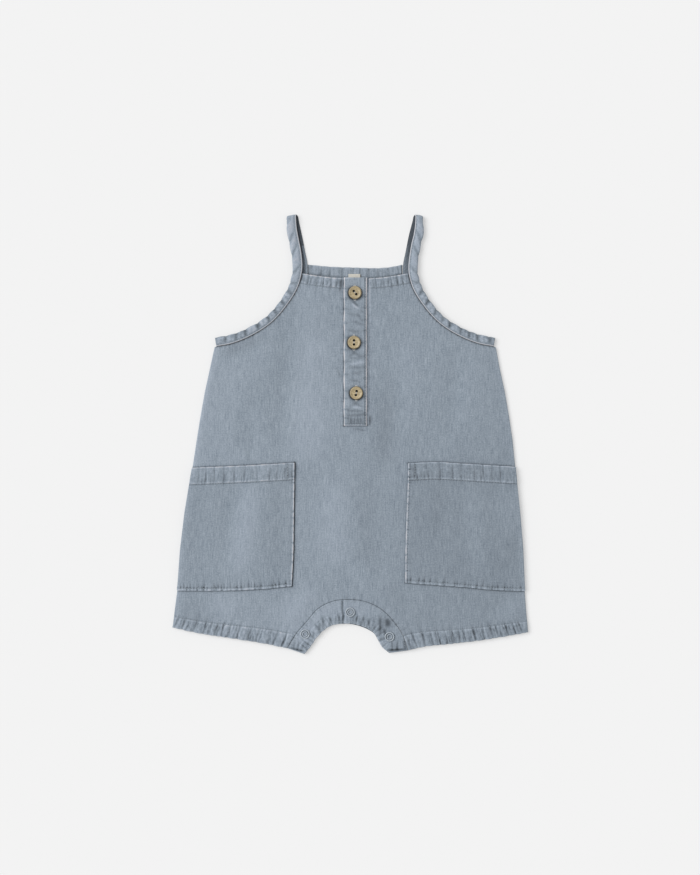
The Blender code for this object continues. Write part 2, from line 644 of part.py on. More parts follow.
def add_crotch_bands(material):
    """The two bands that snap together between the legs, front over back."""
    seam = smooth_line(CROTCH_SEAM, 6.0)
    seam = (seam - left_of(seam) * GAP / 2)[::-1]
    edge = Hem(CROTCH_EDGE, (CROTCH_HEM, CROTCH_HEM), CROTCH_CREASES, 0.5, rise=0.35, seed=31)
    front = joined(edge.edge(), seam)
    wall("crotch_band_front", front, lambda spots: front_floor(spots) + WALL + 0.2 + edge.relief(spots),
         front_floor, material, hem_rows([edge], (0.4, 0.8, 1.0)), 9.0, PLAIN_GRID)
    back = joined(smooth_line(BACK_CROTCH_EDGE, 6.0), seam)
    wall("crotch_band_back", back, lambda spots: np.full(len(spots), BACK_WALL),
         lambda spots: np.zeros(len(spots)), material, None, PLAIN_GRID, None)
    return edge


def add_pocket(name, mouth, bottom, inner_points, side, material):
    """A patch pocket: a deep hem at its mouth, and short puckers along its bottom."""
    mouth_edge, bottom_edge = mouth.edge(), bottom.edge(2)
    seam_end, seam_start = (-1, 0) if side < 0 else (0, -1)
    outer = side_line(side, bottom_edge[seam_start][1], mouth_edge[seam_end][1])
    outer[:, 0] += side * POCKET_PROUD
    inner = smooth_line(inner_points, 16.0)
    if side < 0:
        outline = joined(bottom_edge, inner[1:-1], mouth_edge, outer[::-1][1:-1])
    else:
        outline = joined(bottom_edge, outer[1:-1], mouth_edge, inner[1:-1])
    middle = outline.mean(axis=0)
    half = (outline.max(axis=0) - outline.min(axis=0)) / 2

    def underside(spots):
        return front_skin(spots) + GAP

    def skin(spots):
        x = np.clip(np.abs(spots[:, 0] - middle[0]) / half[0], 0, 1)
        y = np.clip(np.abs(spots[:, 1] - middle[1]) / half[1], 0, 1)
        bulge = POCKET_BULGE * (1 - x**4) * (1 - y**4)
        plain = underside(spots) + WALL + bulge + folds(POCKET_FOLDS, spots)
        return plain + mouth.relief(spots) + bottom.relief(spots)

    rows = np.vstack([hem_rows([mouth], (0.3, 0.62, 0.92, 1.0, 1.1)), bottom.row(1.0, 2), bottom.row(2.6, 2)])
    return wall(name, outline, skin, underside, material, rows, POCKET_GRID, POCKET_GRID)


def add_pockets(material):
    """The two patch pockets."""
    mouth_depths = (POCKET_HEM, POCKET_HEM)
    bottom_depths = (POCKET_STITCH, POCKET_STITCH)
    mouth = Hem(POCKET_LEFT_TOP, mouth_depths, MOUTH_LEFT_CREASES, 0.5, reach=4.0, seed=51)
    bottom = Hem(POCKET_LEFT_BOTTOM, bottom_depths, BOTTOM_LEFT_CREASES, 0.45, rise=0.2, seed=52)
    add_pocket("pocket_left", mouth, bottom, POCKET_LEFT_INNER, -1, material)
    mouth = Hem(POCKET_RIGHT_TOP, mouth_depths, MOUTH_RIGHT_CREASES, 0.5, reach=4.0, seed=61)
    bottom = Hem(POCKET_RIGHT_BOTTOM, bottom_depths, BOTTOM_RIGHT_CREASES, 0.45, rise=0.2, seed=62)
    add_pocket("pocket_right", mouth, bottom, POCKET_RIGHT_INNER, 1, material)


def strip_outline(left, right, low, high, step):
    """A rectangle, counter-clockwise, with points along its long sides."""
    count = round((high - low) / step) + 1
    y = np.linspace(low, high, count)
    return np.vstack([np.column_stack([np.full(count, right), y]),
                      np.column_stack([np.full(count, left), y[::-1]])])


def over_skin(spots):
    """Upper side of the over strip, with short puffs in from each long edge."""
    length = OVER_TOP - OVER_BOTTOM
    left = puffs(OVER_LEFT_CREASES, length, 0.4, 41)
    right = puffs(OVER_RIGHT_CREASES, length, 0.35, 42)
    from_left = spots[:, 0] - OVER_LEFT
    from_right = OVER_RIGHT - spots[:, 0]
    height = front_skin(spots) + GAP + OVER_WALL
    height += OVER_PAD * smooth_step(np.minimum(from_left, from_right) / 2.5)
    height += puff_height(*left, OVER_TOP - spots[:, 1]) * np.exp(-(from_left / OVER_PUFF_REACH) ** 2)
    height += puff_height(*right, spots[:, 1] - OVER_BOTTOM) * np.exp(-(from_right / OVER_PUFF_REACH) ** 2)
    return height


def add_placket(material):
    """The under strip in the slot and the over strip above it."""
    under = strip_outline(SLOT_LEFT + GAP, SLOT_RIGHT - GAP, SLOT_BOTTOM + GAP, NECK_LEFT[0][1], 18.0)
    wall("placket_under", under, front_skin, front_floor, material, None, 14.0, 14.0)
    over = strip_outline(OVER_LEFT, OVER_RIGHT, OVER_BOTTOM, OVER_TOP, 3.0)
    columns = [OVER_LEFT + 2.4, OVER_LEFT + 6.0, OVER_RIGHT - 6.0, OVER_RIGHT - 2.4]
    y = np.linspace(OVER_BOTTOM + 2.5, OVER_TOP - 2.5, 46)
    rows = np.vstack([np.column_stack([np.full(len(y), x), y]) for x in columns])
    wall("placket_over", over, over_skin, lambda spots: front_skin(spots) + GAP, material, rows, 30.0, 14.0)


def add_label(material):
    """The neck label, hanging inside the back."""
    corners = np.array(LABEL, float)
    wall("neck_label", corners, lambda spots: np.full(len(spots), LABEL_BASE + LABEL_WALL),
         lambda spots: np.full(len(spots), LABEL_BASE), material, None, PLAIN_GRID, None)


# ---- fastenings ----

def add_buttons(material):
    """Turned two-hole buttons with a raised rim, on the over strip."""
    for name, centre, turn in zip(BUTTON_NAMES, BUTTON_CENTRES, BUTTON_TURNS):
        ring = [(centre[0] + 5.3 * math.cos(a), centre[1] + 5.3 * math.sin(a))
                for a in np.linspace(0, 2 * math.pi, 16)]
        base = over_skin(np.array(ring + [centre])).max() + GAP
        mesh = bpy.data.meshes.new(name)
        edges = [(i, i + 1) for i in range(len(BUTTON_PROFILE) - 1)]
        mesh.from_pydata([(r * MM, 0.0, z * MM) for r, z in BUTTON_PROFILE], edges, [])
        mesh.materials.append(material)
        button = bpy.data.objects.new(name, mesh)
        garment.objects.link(button)
        button.location = (centre[0] * MM, centre[1] * MM, base * MM)
        button.rotation_euler = (0.0, 0.0, math.radians(turn))
        screw = button.modifiers.new("turn", "SCREW")
        screw.steps = BUTTON_STEPS
        screw.render_steps = BUTTON_STEPS
        screw.use_merge_vertices = True
        screw.merge_threshold = 0.00005
        screw.use_smooth_shade = False
        holes = hole_cutter(name + "_holes")
        holes.location = button.location
        holes.rotation_euler = button.rotation_euler
        cut = button.modifiers.new("holes", "BOOLEAN")
        cut.operation = "DIFFERENCE"
        cut.solver = "EXACT"
        cut.object = holes


def hole_cutter(name):
    """The two drills of a button, one above the other along +Y."""
    shape = bmesh.new()
    for side in (-1, 1):
        made = bmesh.ops.create_cone(shape, cap_ends=True, segments=10, radius1=BUTTON_HOLE_RADIUS * MM,
                                     radius2=BUTTON_HOLE_RADIUS * MM, depth=8 * MM)
        bmesh.ops.translate(shape, verts=made["verts"], vec=(0.0, side * BUTTON_HOLE_PITCH / 2 * MM, 0.0))
    mesh = bpy.data.meshes.new(name)
    shape.to_mesh(mesh)
    shape.free()
    cutter = bpy.data.objects.new(name, mesh)
    cutters.objects.link(cutter)
    cutter.hide_render = True
    cutter.display_type = "WIRE"
    return cutter


def add_snaps(edge, material):
    """Open ring snaps on the front crotch band."""
    for name, centre in SNAP_CENTRES.items():
        ring = np.array([(centre[0] + r * math.cos(a), centre[1] + r * math.sin(a))
                         for a in np.linspace(0, 2 * math.pi, 16) for r in (0.0, 2.6, 4.6)])
        base = (front_floor(ring) + WALL + 0.2 + edge.relief(ring)).max() + GAP
        bpy.ops.mesh.primitive_torus_add(major_segments=18, minor_segments=6,
                                         major_radius=SNAP_RADIUS * MM, minor_radius=SNAP_BEAD * MM,
                                         location=(0.0, 0.0, 0.0))
        snap = bpy.context.active_object
        snap.name = name
        snap.data.name = name
        for vertex in snap.data.vertices:
            vertex.co.z *= SNAP_HEIGHT / (2 * SNAP_BEAD * math.sin(math.pi / 3))
        lowest = min(vertex.co.z for vertex in snap.data.vertices)
        snap.location = (centre[0] * MM, centre[1] * MM, base * MM - lowest)
        snap.data.materials.append(material)
        for owner in list(snap.users_collection):
            owner.objects.unlink(snap)
        garment.objects.link(snap)


for item in list(bpy.data.objects):
    bpy.data.objects.remove(item, do_unlink=True)
garment = bpy.data.collections.new("baby_romper")
cutters = bpy.data.collections.new("cutters")
bpy.context.scene.collection.children.link(garment)
bpy.context.scene.collection.children.link(cutters)

chambray = make_material("washed_chambray", (0.275, 0.32, 0.37), 0.9)
inner_chambray = make_material("chambray_inside", (0.25, 0.295, 0.345), 0.92)
corozo = make_material("corozo_nut", (0.58, 0.43, 0.22), 0.5)
tape = make_material("cotton_tape", (0.8, 0.77, 0.68), 0.85)
snap_metal = make_material("painted_snap", (0.26, 0.29, 0.33), 0.55)

add_back(inner_chambray)
add_front(chambray)
crotch_edge = add_crotch_bands(chambray)
add_pockets(chambray)
add_binding("binding_strap_left", BINDING_LEFT_CREASES, 71, False, chambray)
add_binding("binding_strap_right", BINDING_RIGHT_CREASES, 72, True, chambray)
add_placket(chambray)
add_label(tape)
add_buttons(corozo)
add_snaps(crotch_edge, snap_metal)
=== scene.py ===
# %% [markdown]
# # A baby's shortall in washed chambray, laid flat
#
# The real garment is sewn from a cotton cloth whose warp is grey blue and whose weft is nearly
# white. It was washed after sewing, so its seams drew up into puckers and its edges wore pale.
# This lesson dresses a fixed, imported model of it: each wall of the model is replaced by a cloth
# with hems, creases, stitches and a woven finish. Every length in the tables is in millimetres,
# and becomes metres where a mesh is made.

# %% The fixed frame
import math
import random

import bpy
import numpy as np
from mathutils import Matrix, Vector, noise
from mathutils.geometry import delaunay_2d_cdt
from mathutils.kdtree import KDTree


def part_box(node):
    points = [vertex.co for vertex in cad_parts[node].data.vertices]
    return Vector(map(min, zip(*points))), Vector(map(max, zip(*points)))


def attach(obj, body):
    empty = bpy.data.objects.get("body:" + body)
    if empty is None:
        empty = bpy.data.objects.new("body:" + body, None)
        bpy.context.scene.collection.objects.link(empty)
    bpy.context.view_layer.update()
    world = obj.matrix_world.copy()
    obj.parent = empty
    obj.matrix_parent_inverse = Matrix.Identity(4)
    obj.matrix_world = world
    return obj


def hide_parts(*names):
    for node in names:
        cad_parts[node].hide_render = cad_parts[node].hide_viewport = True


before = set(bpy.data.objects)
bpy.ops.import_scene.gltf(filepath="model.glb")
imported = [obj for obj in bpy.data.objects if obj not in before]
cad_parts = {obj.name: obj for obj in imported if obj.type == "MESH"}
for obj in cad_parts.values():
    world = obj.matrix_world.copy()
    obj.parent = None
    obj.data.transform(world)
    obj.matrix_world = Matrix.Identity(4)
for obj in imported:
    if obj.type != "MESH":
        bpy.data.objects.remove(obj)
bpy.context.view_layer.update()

MM = 0.001

# %% [markdown]
# ## Camera, light and table
#
# The garment is seen from straight above, so a long lens far away keeps its edges true. One sun
# with a very wide disc stands for a big soft lamp on the left: it lights the table evenly, and it
# still gives each pucker a light side and a dark side. The pale surroundings fill the shadows.

# %% Camera
FRAME_HEIGHT = 0.83125      # metres of table from top to bottom of the image
AIM_X, AIM_Y = -0.0001, -0.0030
LENS, SENSOR = 85.0, 36.0
SIGHT = 60.0                # metres, so that the camera sees past the table's far edge

camera_data = bpy.data.cameras.new("camera")
camera_data.lens = LENS
camera_data.sensor_width = SENSOR
camera_data.clip_end = SIGHT
camera = bpy.data.objects.new("camera", camera_data)
camera.location = (AIM_X, AIM_Y, FRAME_HEIGHT * LENS / SENSOR)
bpy.context.scene.collection.objects.link(camera)
bpy.context.scene.camera = camera
bpy.context.scene.view_settings.view_transform = "Standard"
print("camera height:", round(camera.location.z, 3), "m")

# %% Light
SUN_AZIMUTH, SUN_ELEVATION = 158.0, 50.0    # degrees: from the left and a little from above
SUN_WIDTH = 45.0            # degrees of sky that the lamp fills
SUN_STRENGTH, SKY_STRENGTH = 2.5, 0.50
WHITE = (1.0, 1.0, 1.0, 1.0)

sun_data = bpy.data.lights.new("wide_soft_lamp", "SUN")
sun_data.energy = SUN_STRENGTH
sun_data.angle = math.radians(SUN_WIDTH)
sun = bpy.data.objects.new("wide_soft_lamp", sun_data)
azimuth, elevation = math.radians(SUN_AZIMUTH), math.radians(SUN_ELEVATION)
toward_sun = Vector((math.cos(azimuth) * math.cos(elevation), math.sin(azimuth) * math.cos(elevation),
                     math.sin(elevation)))
sun.rotation_euler = toward_sun.to_track_quat("Z", "Y").to_euler()
bpy.context.scene.collection.objects.link(sun)

world = bpy.data.worlds.new("pale_room")
world.use_nodes = True
sky = world.node_tree.nodes["Background"]
sky.inputs["Color"].default_value = WHITE
sky.inputs["Strength"].default_value = SKY_STRENGTH
bpy.context.scene.world = world
print("sun on the table:", round(SUN_STRENGTH * math.sin(elevation) / math.pi + SKY_STRENGTH, 3))

# %% [markdown]
# ## Small helpers for node trees
#
# A finish is a chain of small sums. These helpers make one node at a time and hand back its
# output, so a finish can be read from top to bottom like a recipe.

# %% Node helpers
def sum_node(tree, operation, *values):
    """One Math node; each value is a number or another node's output."""
    node = tree.nodes.new("ShaderNodeMath")
    node.operation = operation
    for socket, value in zip(node.inputs, values):
        if isinstance(value, (int, float)):
            socket.default_value = value
        else:
            tree.links.new(value, socket)
    return node.outputs[0]


def object_place(tree):
    """Where each point is on the piece, in metres."""
    return tree.nodes.new("ShaderNodeTexCoord").outputs["Object"]


def attribute_of(tree, name, output="Fac"):
    """What one of the piece's attributes holds at each point."""
    node = tree.nodes.new("ShaderNodeAttribute")
    node.attribute_name = name
    return node.outputs[output]


def stretched_noise(tree, place, scale, detail=1.0, rough=0.5):
    """Noise of mean 0 whose cells are stretched by the three numbers of scale."""
    mapping = tree.nodes.new("ShaderNodeMapping")
    mapping.inputs["Scale"].default_value = scale
    tree.links.new(place, mapping.inputs["Vector"])
    texture = tree.nodes.new("ShaderNodeTexNoise")
    texture.inputs["Scale"].default_value = 1.0
    texture.inputs["Detail"].default_value = detail
    texture.inputs["Roughness"].default_value = rough
    tree.links.new(mapping.outputs[0], texture.inputs["Vector"])
    return sum_node(tree, "SUBTRACT", texture.outputs[0], 0.5)


def blend_colours(tree, share, first, second):
    """A colour between two, by a share from 0 to 1."""
    node = tree.nodes.new("ShaderNodeMix")
    node.data_type = "RGBA"
    tree.links.new(share, node.inputs["Factor"])
    for name, colour in (("A", first), ("B", second)):
        socket = next(s for s in node.inputs if s.name == name and s.type == "RGBA")
        if isinstance(colour, tuple):
            socket.default_value = (*colour, 1.0)
        else:
            tree.links.new(colour, socket)
    return next(s for s in node.outputs if s.type == "RGBA")


def new_finish(name, roughness, **sockets):
    """A material with one Principled shader, its plain numbers set on the shader itself."""
    finish = bpy.data.materials.new(name)
    finish.use_nodes = True
    shader = finish.node_tree.nodes["Principled BSDF"]
    shader.inputs["Roughness"].default_value = roughness
    for socket, value in sockets.items():
        shader.inputs[socket.replace("_", " ")].default_value = value
    return finish, finish.node_tree, shader


def add_bump(tree, shader, height, distance, strength):
    """Bump from a height, where height 1 stands for the given distance in metres."""
    bump = tree.nodes.new("ShaderNodeBump")
    bump.inputs["Strength"].default_value = strength
    bump.inputs["Distance"].default_value = distance
    tree.links.new(height, bump.inputs["Height"])
    tree.links.new(bump.outputs[0], shader.inputs["Normal"])


def two_tone(name, roughness, specks, gain, dark, light, bump=(), **sockets):
    """A finish that wanders between two colours. specks: how many to a metre, detail, roughness."""
    finish, tree, shader = new_finish(name, roughness, **sockets)
    fineness, *grades = specks
    wandering = stretched_noise(tree, object_place(tree), (fineness, fineness, fineness), *grades)
    shade = sum_node(tree, "MULTIPLY_ADD", wandering, gain, 0.5)
    tree.links.new(blend_colours(tree, shade, dark, light), shader.inputs["Base Color"])
    if bump:
        add_bump(tree, shader, wandering, *bump)
    return finish


# %% [markdown]
# ## The chambray
#
# Chambray is a plain weave: a blue thread goes over and under a white one, thirty to the
# centimetre. From arm's length the threads melt into a heather, and what is left to see are the
# slubs, places where a thread is thicker or took less dye, as short streaks along and across.
# Each cloth carries two attributes for this finish. `grain` says where a point was on the flat
# cloth, so that the weave turns with a strap or a pocket. `tone` says how the cloth is painted
# there: above zero it is paler, rubbed pale by wear and painted paler as a highlight on folds and
# puffs; below zero it is darker, as painted shade in creases, grooves and corners and beside what
# lies on it, and a little where uneven wear left it darker.

# %% Chambray finishes
THREADS = 2700.0            # threads a metre
# Colours that tone blends to. Above zero: first the soft pale, mostly painted highlight on folds, then the
# strong pale of wear and painted highlight on puffs. Below zero: the dark of painted shade, which the darker
# speckles of uneven wear also use.
WEAR_AND_HIGHLIGHT_PALE = (0.635, 0.61, 0.625)
SOFT_HIGHLIGHT_AND_WEAR_PALE = (0.57, 0.63, 0.74)
SHADE_AND_WEAR_DARK = (0.030, 0.036, 0.044)
THREAD_COLOUR, THREAD_RELIEF = 0.07, 0.25
# Each kind of streak: how many to a metre along X and Y, its roughness, and its share in the
# colour and in the relief. They are thick warp threads, thick weft threads, heather, mottle, wash.
STREAKS = (
    ((1300.0, 80.0, 1.0), 0.65, 0.80, 0.9),
    ((110.0, 1400.0, 1.0), 0.6, 0.26, 0.6),
    ((820.0, 700.0, 1.0), 0.7, 0.80, 0.8),
    ((230.0, 90.0, 1.0), 0.6, 0.24, 0.0),
    ((42.0, 9.0, 1.0), 0.55, 0.16, 0.0),
)


def chambray(name, deep, faded):
    """Washed chambray between its deep and faded colour, with abrasion, painted light and shade from `tone`.
    """
    finish, tree, shader = new_finish(name, 0.92, Sheen_Weight=0.12, Sheen_Roughness=0.6,
                                      Specular_IOR_Level=0.18)
    place, tone = attribute_of(tree, "grain", "Vector"), attribute_of(tree, "tone")

    across = tree.nodes.new("ShaderNodeSeparateXYZ")
    tree.links.new(place, across.inputs[0])
    warp, weft = (sum_node(tree, "SINE", sum_node(tree, "MULTIPLY", axis, math.pi * THREADS))
                  for axis in across.outputs[:2])
    over = sum_node(tree, "MULTIPLY", warp, weft)
    share = sum_node(tree, "MULTIPLY_ADD", over, THREAD_COLOUR, 0.5)
    height = sum_node(tree, "MULTIPLY", over, THREAD_RELIEF)
    for fineness, rough, in_colour, in_relief in STREAKS:
        streak = stretched_noise(tree, place, fineness, 2.0, rough)
        share = sum_node(tree, "MULTIPLY_ADD", streak, in_colour, share)
        if in_relief:
            height = sum_node(tree, "MULTIPLY_ADD", streak, in_relief, height)
    colour = blend_colours(tree, share, deep, faded)

    # Above zero: paler, by wear and painted highlight.
    wear_and_painted_light = sum_node(tree, "MAXIMUM", tone, 0.0)
    strong_pale_share = sum_node(tree, "MULTIPLY_ADD", wear_and_painted_light, 4.0, -0.9)
    colour = blend_colours(tree, wear_and_painted_light, colour, blend_colours(tree, strong_pale_share, SOFT_HIGHLIGHT_AND_WEAR_PALE, WEAR_AND_HIGHLIGHT_PALE))
    # Below zero: darker, by painted shade and the darker speckles of uneven wear.
    shade_and_wear_share = sum_node(tree, "MAXIMUM", sum_node(tree, "MULTIPLY", tone, -1.0), 0.0)
    colour = blend_colours(tree, shade_and_wear_share, colour, SHADE_AND_WEAR_DARK)
    tree.links.new(colour, shader.inputs["Base Color"])
    add_bump(tree, shader, height, 0.00012, 0.9)
    return finish


outer_cloth = chambray("washed_chambray", (0.094, 0.125, 0.163), (0.390, 0.445, 0.506))
inner_cloth = chambray("chambray_inside", (0.092, 0.122, 0.158), (0.386, 0.438, 0.494))
print("finishes:", outer_cloth.name, inner_cloth.name)

# %% [markdown]
# ## Thread, tape, corozo and painted metal
#
# The sewing thread is nearly the cloth's own colour and has a visible twist. The neck label is a
# piece of unbleached tape. The buttons are turned from corozo nut, which shows fine wood-like
# lines and keeps a little dark bark round the rim, painted darker on its lower left as shade; the
# walls of a hole drilled in it are painted near black, as the shade inside it. The snaps are
# painted metal rings, so only their gloss tells them from the cloth.

# %% Small finishes
def thread_finish(name, colour):
    """Twisted cotton thread."""
    dark = tuple(0.72 * value for value in colour)
    light = tuple(min(1.0, 1.25 * value) for value in colour)
    return two_tone(name, 0.8, (2600.0, 2.0), 0.8, dark, light, (0.0001, 0.6), Sheen_Weight=0.1)


def corozo_finish():
    """Turned corozo nut: fine darker lines and flecks on tan, darkened at the rim by its dark skin and
    painted shade.
    """
    finish, tree, shader = new_finish("corozo_nut", 0.42, Coat_Weight=0.12, Coat_Roughness=0.35)
    place = object_place(tree)
    lines = stretched_noise(tree, place, (260.0, 1500.0, 700.0), 3.0, 0.6)
    flecks = stretched_noise(tree, place, (750.0, 900.0, 750.0), 3.0, 0.65)
    shade = sum_node(tree, "MULTIPLY_ADD", lines, 1.3, 0.55)
    shade = sum_node(tree, "MULTIPLY_ADD", flecks, 1.2, shade)
    colour = blend_colours(tree, shade, (0.15, 0.105, 0.048), (0.545, 0.450, 0.270))
    colour = blend_colours(tree, attribute_of(tree, "bark_and_shade"), colour, (0.060, 0.048, 0.030))
    tree.links.new(colour, shader.inputs["Base Color"])
    add_bump(tree, shader, lines, 0.00008, 0.5)
    return finish


def tape_finish():
    """Unbleached cotton tape: a coarse plain weave."""
    finish, tree, shader = new_finish("cotton_tape", 0.85, Sheen_Weight=0.1)
    place = object_place(tree)
    along = stretched_noise(tree, place, (2200.0, 260.0, 1.0), 2.0)
    across = stretched_noise(tree, place, (260.0, 2600.0, 1.0), 2.0)
    weave = sum_node(tree, "ADD", along, across)
    shade = sum_node(tree, "MULTIPLY_ADD", weave, 0.9, 0.5)
    colour = blend_colours(tree, shade, (0.42, 0.40, 0.35), (0.66, 0.64, 0.58))
    tree.links.new(colour, shader.inputs["Base Color"])
    add_bump(tree, shader, weave, 0.00012, 0.7)
    return finish


tonal_thread = thread_finish("tonal_thread", (0.29, 0.335, 0.38))
hole_thread = thread_finish("hole_thread", (0.44, 0.45, 0.46))
button_thread = thread_finish("button_thread", (0.56, 0.54, 0.50))
corozo = corozo_finish()
# Painted shade: a near-black finish for the walls of the buttons' holes, in place of the shade inside them.
painted_bore_shade = two_tone("painted_bore_shade", 0.95, (2500.0,), 1.0, (0.006, 0.005, 0.004), (0.022, 0.018, 0.012),
                       Specular_IOR_Level=0.1)
tape = tape_finish()
snap_paint = two_tone("painted_snap", 0.34, (900.0, 3.0, 0.6), 0.8, (0.27, 0.315, 0.36), (0.44, 0.485, 0.53),
                      (0.00005, 0.4), Coat_Weight=0.3, Coat_Roughness=0.2)
print("small finishes:", tonal_thread.name, corozo.name, tape.name, snap_paint.name)

# %% [markdown]
# ## The table
#
# A pale board under the garment, a little lit from within, as a studio's light table is, so that
# shadows on it stay faint. It has a slight grain of its own, lies a hair below the cloth, and is
# wide enough to fill the view from low down as well.

# %% Table
TABLE_SIZE, TABLE_DROP = 30.0, 0.0003       # metres
TABLE_GLOW = 0.398

bpy.ops.object.select_all(action="DESELECT")
bpy.ops.mesh.primitive_plane_add(size=TABLE_SIZE, location=(0.0, 0.0, -TABLE_DROP))
table = bpy.context.active_object
table.name = "table"
table.data.materials.append(two_tone("pale_table", 0.9, (40.0, 2.0), 0.2, (0.442, 0.442, 0.442),
                                     (0.452, 0.452, 0.452), Specular_IOR_Level=0.1,
                                     Emission_Color=WHITE, Emission_Strength=TABLE_GLOW))
print("table:", TABLE_SIZE, "m wide")

# %% [markdown]
# ## Lines on the cloth
#
# A seam is a line with a direction. Each edge of the garment is given by a few points, a smooth
# curve is drawn through them, and everything near it is measured along it and away from it. That
# is how a tailor's tape would do it, and it lets one rule pucker a straight pocket and a curved
# leg alike.

# %% Line helpers
SAME_POINT = 0.62           # points of an outline that are nearer than this are taken as one
AT_ONCE = 3000              # spots that are measured in one go, to keep the arrays small


def run_of(line):
    """Distance along a line at each of its points."""
    return np.concatenate(([0.0], np.cumsum(np.linalg.norm(np.diff(line, axis=0), axis=1))))


def points_at(line, runs):
    """The points that lie the given distances along a line."""
    at = run_of(line[:, :2])
    return np.column_stack([np.interp(runs, at, line[:, axis]) for axis in range(line.shape[1])])


def smooth_line(points, step):
    """Evenly spaced points on the smooth curve through a few given ones."""
    knots = np.array(points, float)
    at = run_of(knots[:, :2])
    slopes = np.gradient(knots, at, axis=0)
    fine = np.linspace(0.0, at[-1], 12 * len(knots) + 1)
    cell = np.clip(np.searchsorted(at, fine, side="right") - 1, 0, len(knots) - 2)
    span = (at[cell + 1] - at[cell])[:, None]
    t = (fine - at[cell])[:, None] / span
    curve = ((2 * t**3 - 3 * t**2 + 1) * knots[cell] + (t**3 - 2 * t**2 + t) * span * slopes[cell]
             + (3 * t**2 - 2 * t**3) * knots[cell + 1] + (t**3 - t**2) * span * slopes[cell + 1])
    count = max(2, round(run_of(curve[:, :2])[-1] / step) + 1)
    return points_at(curve, np.linspace(0.0, run_of(curve[:, :2])[-1], count))


def upright(x, y):
    """A straight line at one x, through all the given y."""
    return np.column_stack([np.full(len(y), x), y])


def level(x, y):
    """A straight line at one y, through all the given x."""
    return np.column_stack([x, np.full(len(x), y)])


def left_of(line):
    """Unit vectors to the left of a line's travel, at each of its points."""
    travel = np.gradient(line[:, :2], axis=0)
    travel /= np.linalg.norm(travel, axis=1)[:, None]
    return np.column_stack([-travel[:, 1], travel[:, 0]])


def line_coords(line, spots):
    """How far along a line each spot is, and how far to the line's left."""
    steps = np.diff(line, axis=0)
    lengths = np.linalg.norm(steps, axis=1)
    travel = steps / lengths[:, None]
    starts = run_of(line)
    runs, sides = [], []
    for part in np.array_split(spots, max(1, len(spots) // AT_ONCE)):
        away = part[:, None, :] - line[None, :-1, :]
        run = np.clip((away * travel).sum(axis=2), 0.0, lengths)
        distance = np.linalg.norm(away - run[:, :, None] * travel, axis=2)
        nearest = distance.argmin(axis=1)
        row = np.arange(len(part))
        offset = away[row, nearest]
        side = travel[nearest, 0] * offset[:, 1] - travel[nearest, 1] * offset[:, 0]
        runs.append(starts[nearest] + run[row, nearest])
        sides.append(np.copysign(distance[row, nearest], side))
    return np.concatenate(runs), np.concatenate(sides)


def near_line(line, spots, reach):
    """Which spots are inside the line's box grown by reach."""
    low, high = line.min(axis=0) - reach, line.max(axis=0) + reach
    return ((spots >= low) & (spots <= high)).all(axis=1)


def smooth_step(value):
    """0 below 0, 1 above 1, and a smooth rise between."""
    t = np.clip(value, 0.0, 1.0)
    return t * t * (3 - 2 * t)


def joined(*lines):
    """One closed outline from lines that meet end to end."""
    points = [lines[0][0]]
    for point in np.vstack(lines):
        if np.linalg.norm(point - points[-1]) > SAME_POINT:
            points.append(point)
    if np.linalg.norm(points[0] - points[-1]) < SAME_POINT:
        points.pop()
    return np.array(points)


print("a smooth line through a right angle of 10 mm legs:",
      round(run_of(smooth_line([(0, 0), (10, 0), (10, 10)], 1.0))[-1], 1), "mm")

# %% [markdown]
# ## The body's form
#
# Laid flat, the shortall is a low pillow: its side seams press on the table, and the cloth stands
# a few millimetres higher in the middle. These sections and soft folds are the same as in the
# solid model, so the cloth lies where the model says.

# %% Body sections and soft folds
WALL = 1.3
BACK_WALL = 1.2
GAP = 0.3
SEAM_FLOOR = BACK_WALL + GAP

SECTION_COLUMNS = ("y", "half_width", "lean", "lift")
BODY = np.array([
    (-210, 171.3, -0.5, 0.3),
    (-187.5, 168.9, 0, 0.8),
    (-165, 166.5, 0.3, 1.4),
    (-142, 164.2, 1, 1.9),
    (-108, 162.2, 1.5, 2.3),
    (-74, 158.7, 2.1, 2.5),
    (-51, 155.6, 2.8, 2.5),
    (-28, 152.7, 3.7, 2.5),
    (-5, 149.8, 4.3, 2.5),
    (17, 146.4, 4.4, 2.4),
    (40, 142.4, 4.5, 2.4),
    (63, 137.4, 4.5, 2.4),
    (84, 133.2, 4.9, 2.3),
    (170, 133.2, 4.9, 2.3),
])

# Each fold is x, y, length, width, height and turn in degrees; a trough has a height below zero.
FRONT_FOLDS = [
    (-35, 92, 120, 24, 0.6, -2),
    (-39, 6, 66, 26, 0.45, 4),
    (-66, 47, 120, 17, -0.6, -4),
    (-93, 32, 50, 16, -0.4, -32),
    (-100, -2, 30, 15, -0.5, 0),
    (38, 14, 85, 19, -0.75, -7),
    (52, 42, 100, 17, 0.6, -3),
    (92, 44, 76, 16, -0.4, -6),
    (112, 40, 80, 16, 0.4, -8),
    (17, -88, 110, 20, -0.6, 2),
    (-14, -84, 84, 26, 0.4, 2),
    (14, -136, 30, 15, 0.5, 8),
    (-119, -163, 26, 15, 0.4, 50),
    (-45, -160, 40, 14, 0.5, -40),
    (153, -162, 30, 14, 0.5, -35),
    (47, -153, 30, 14, -0.4, 28),
]

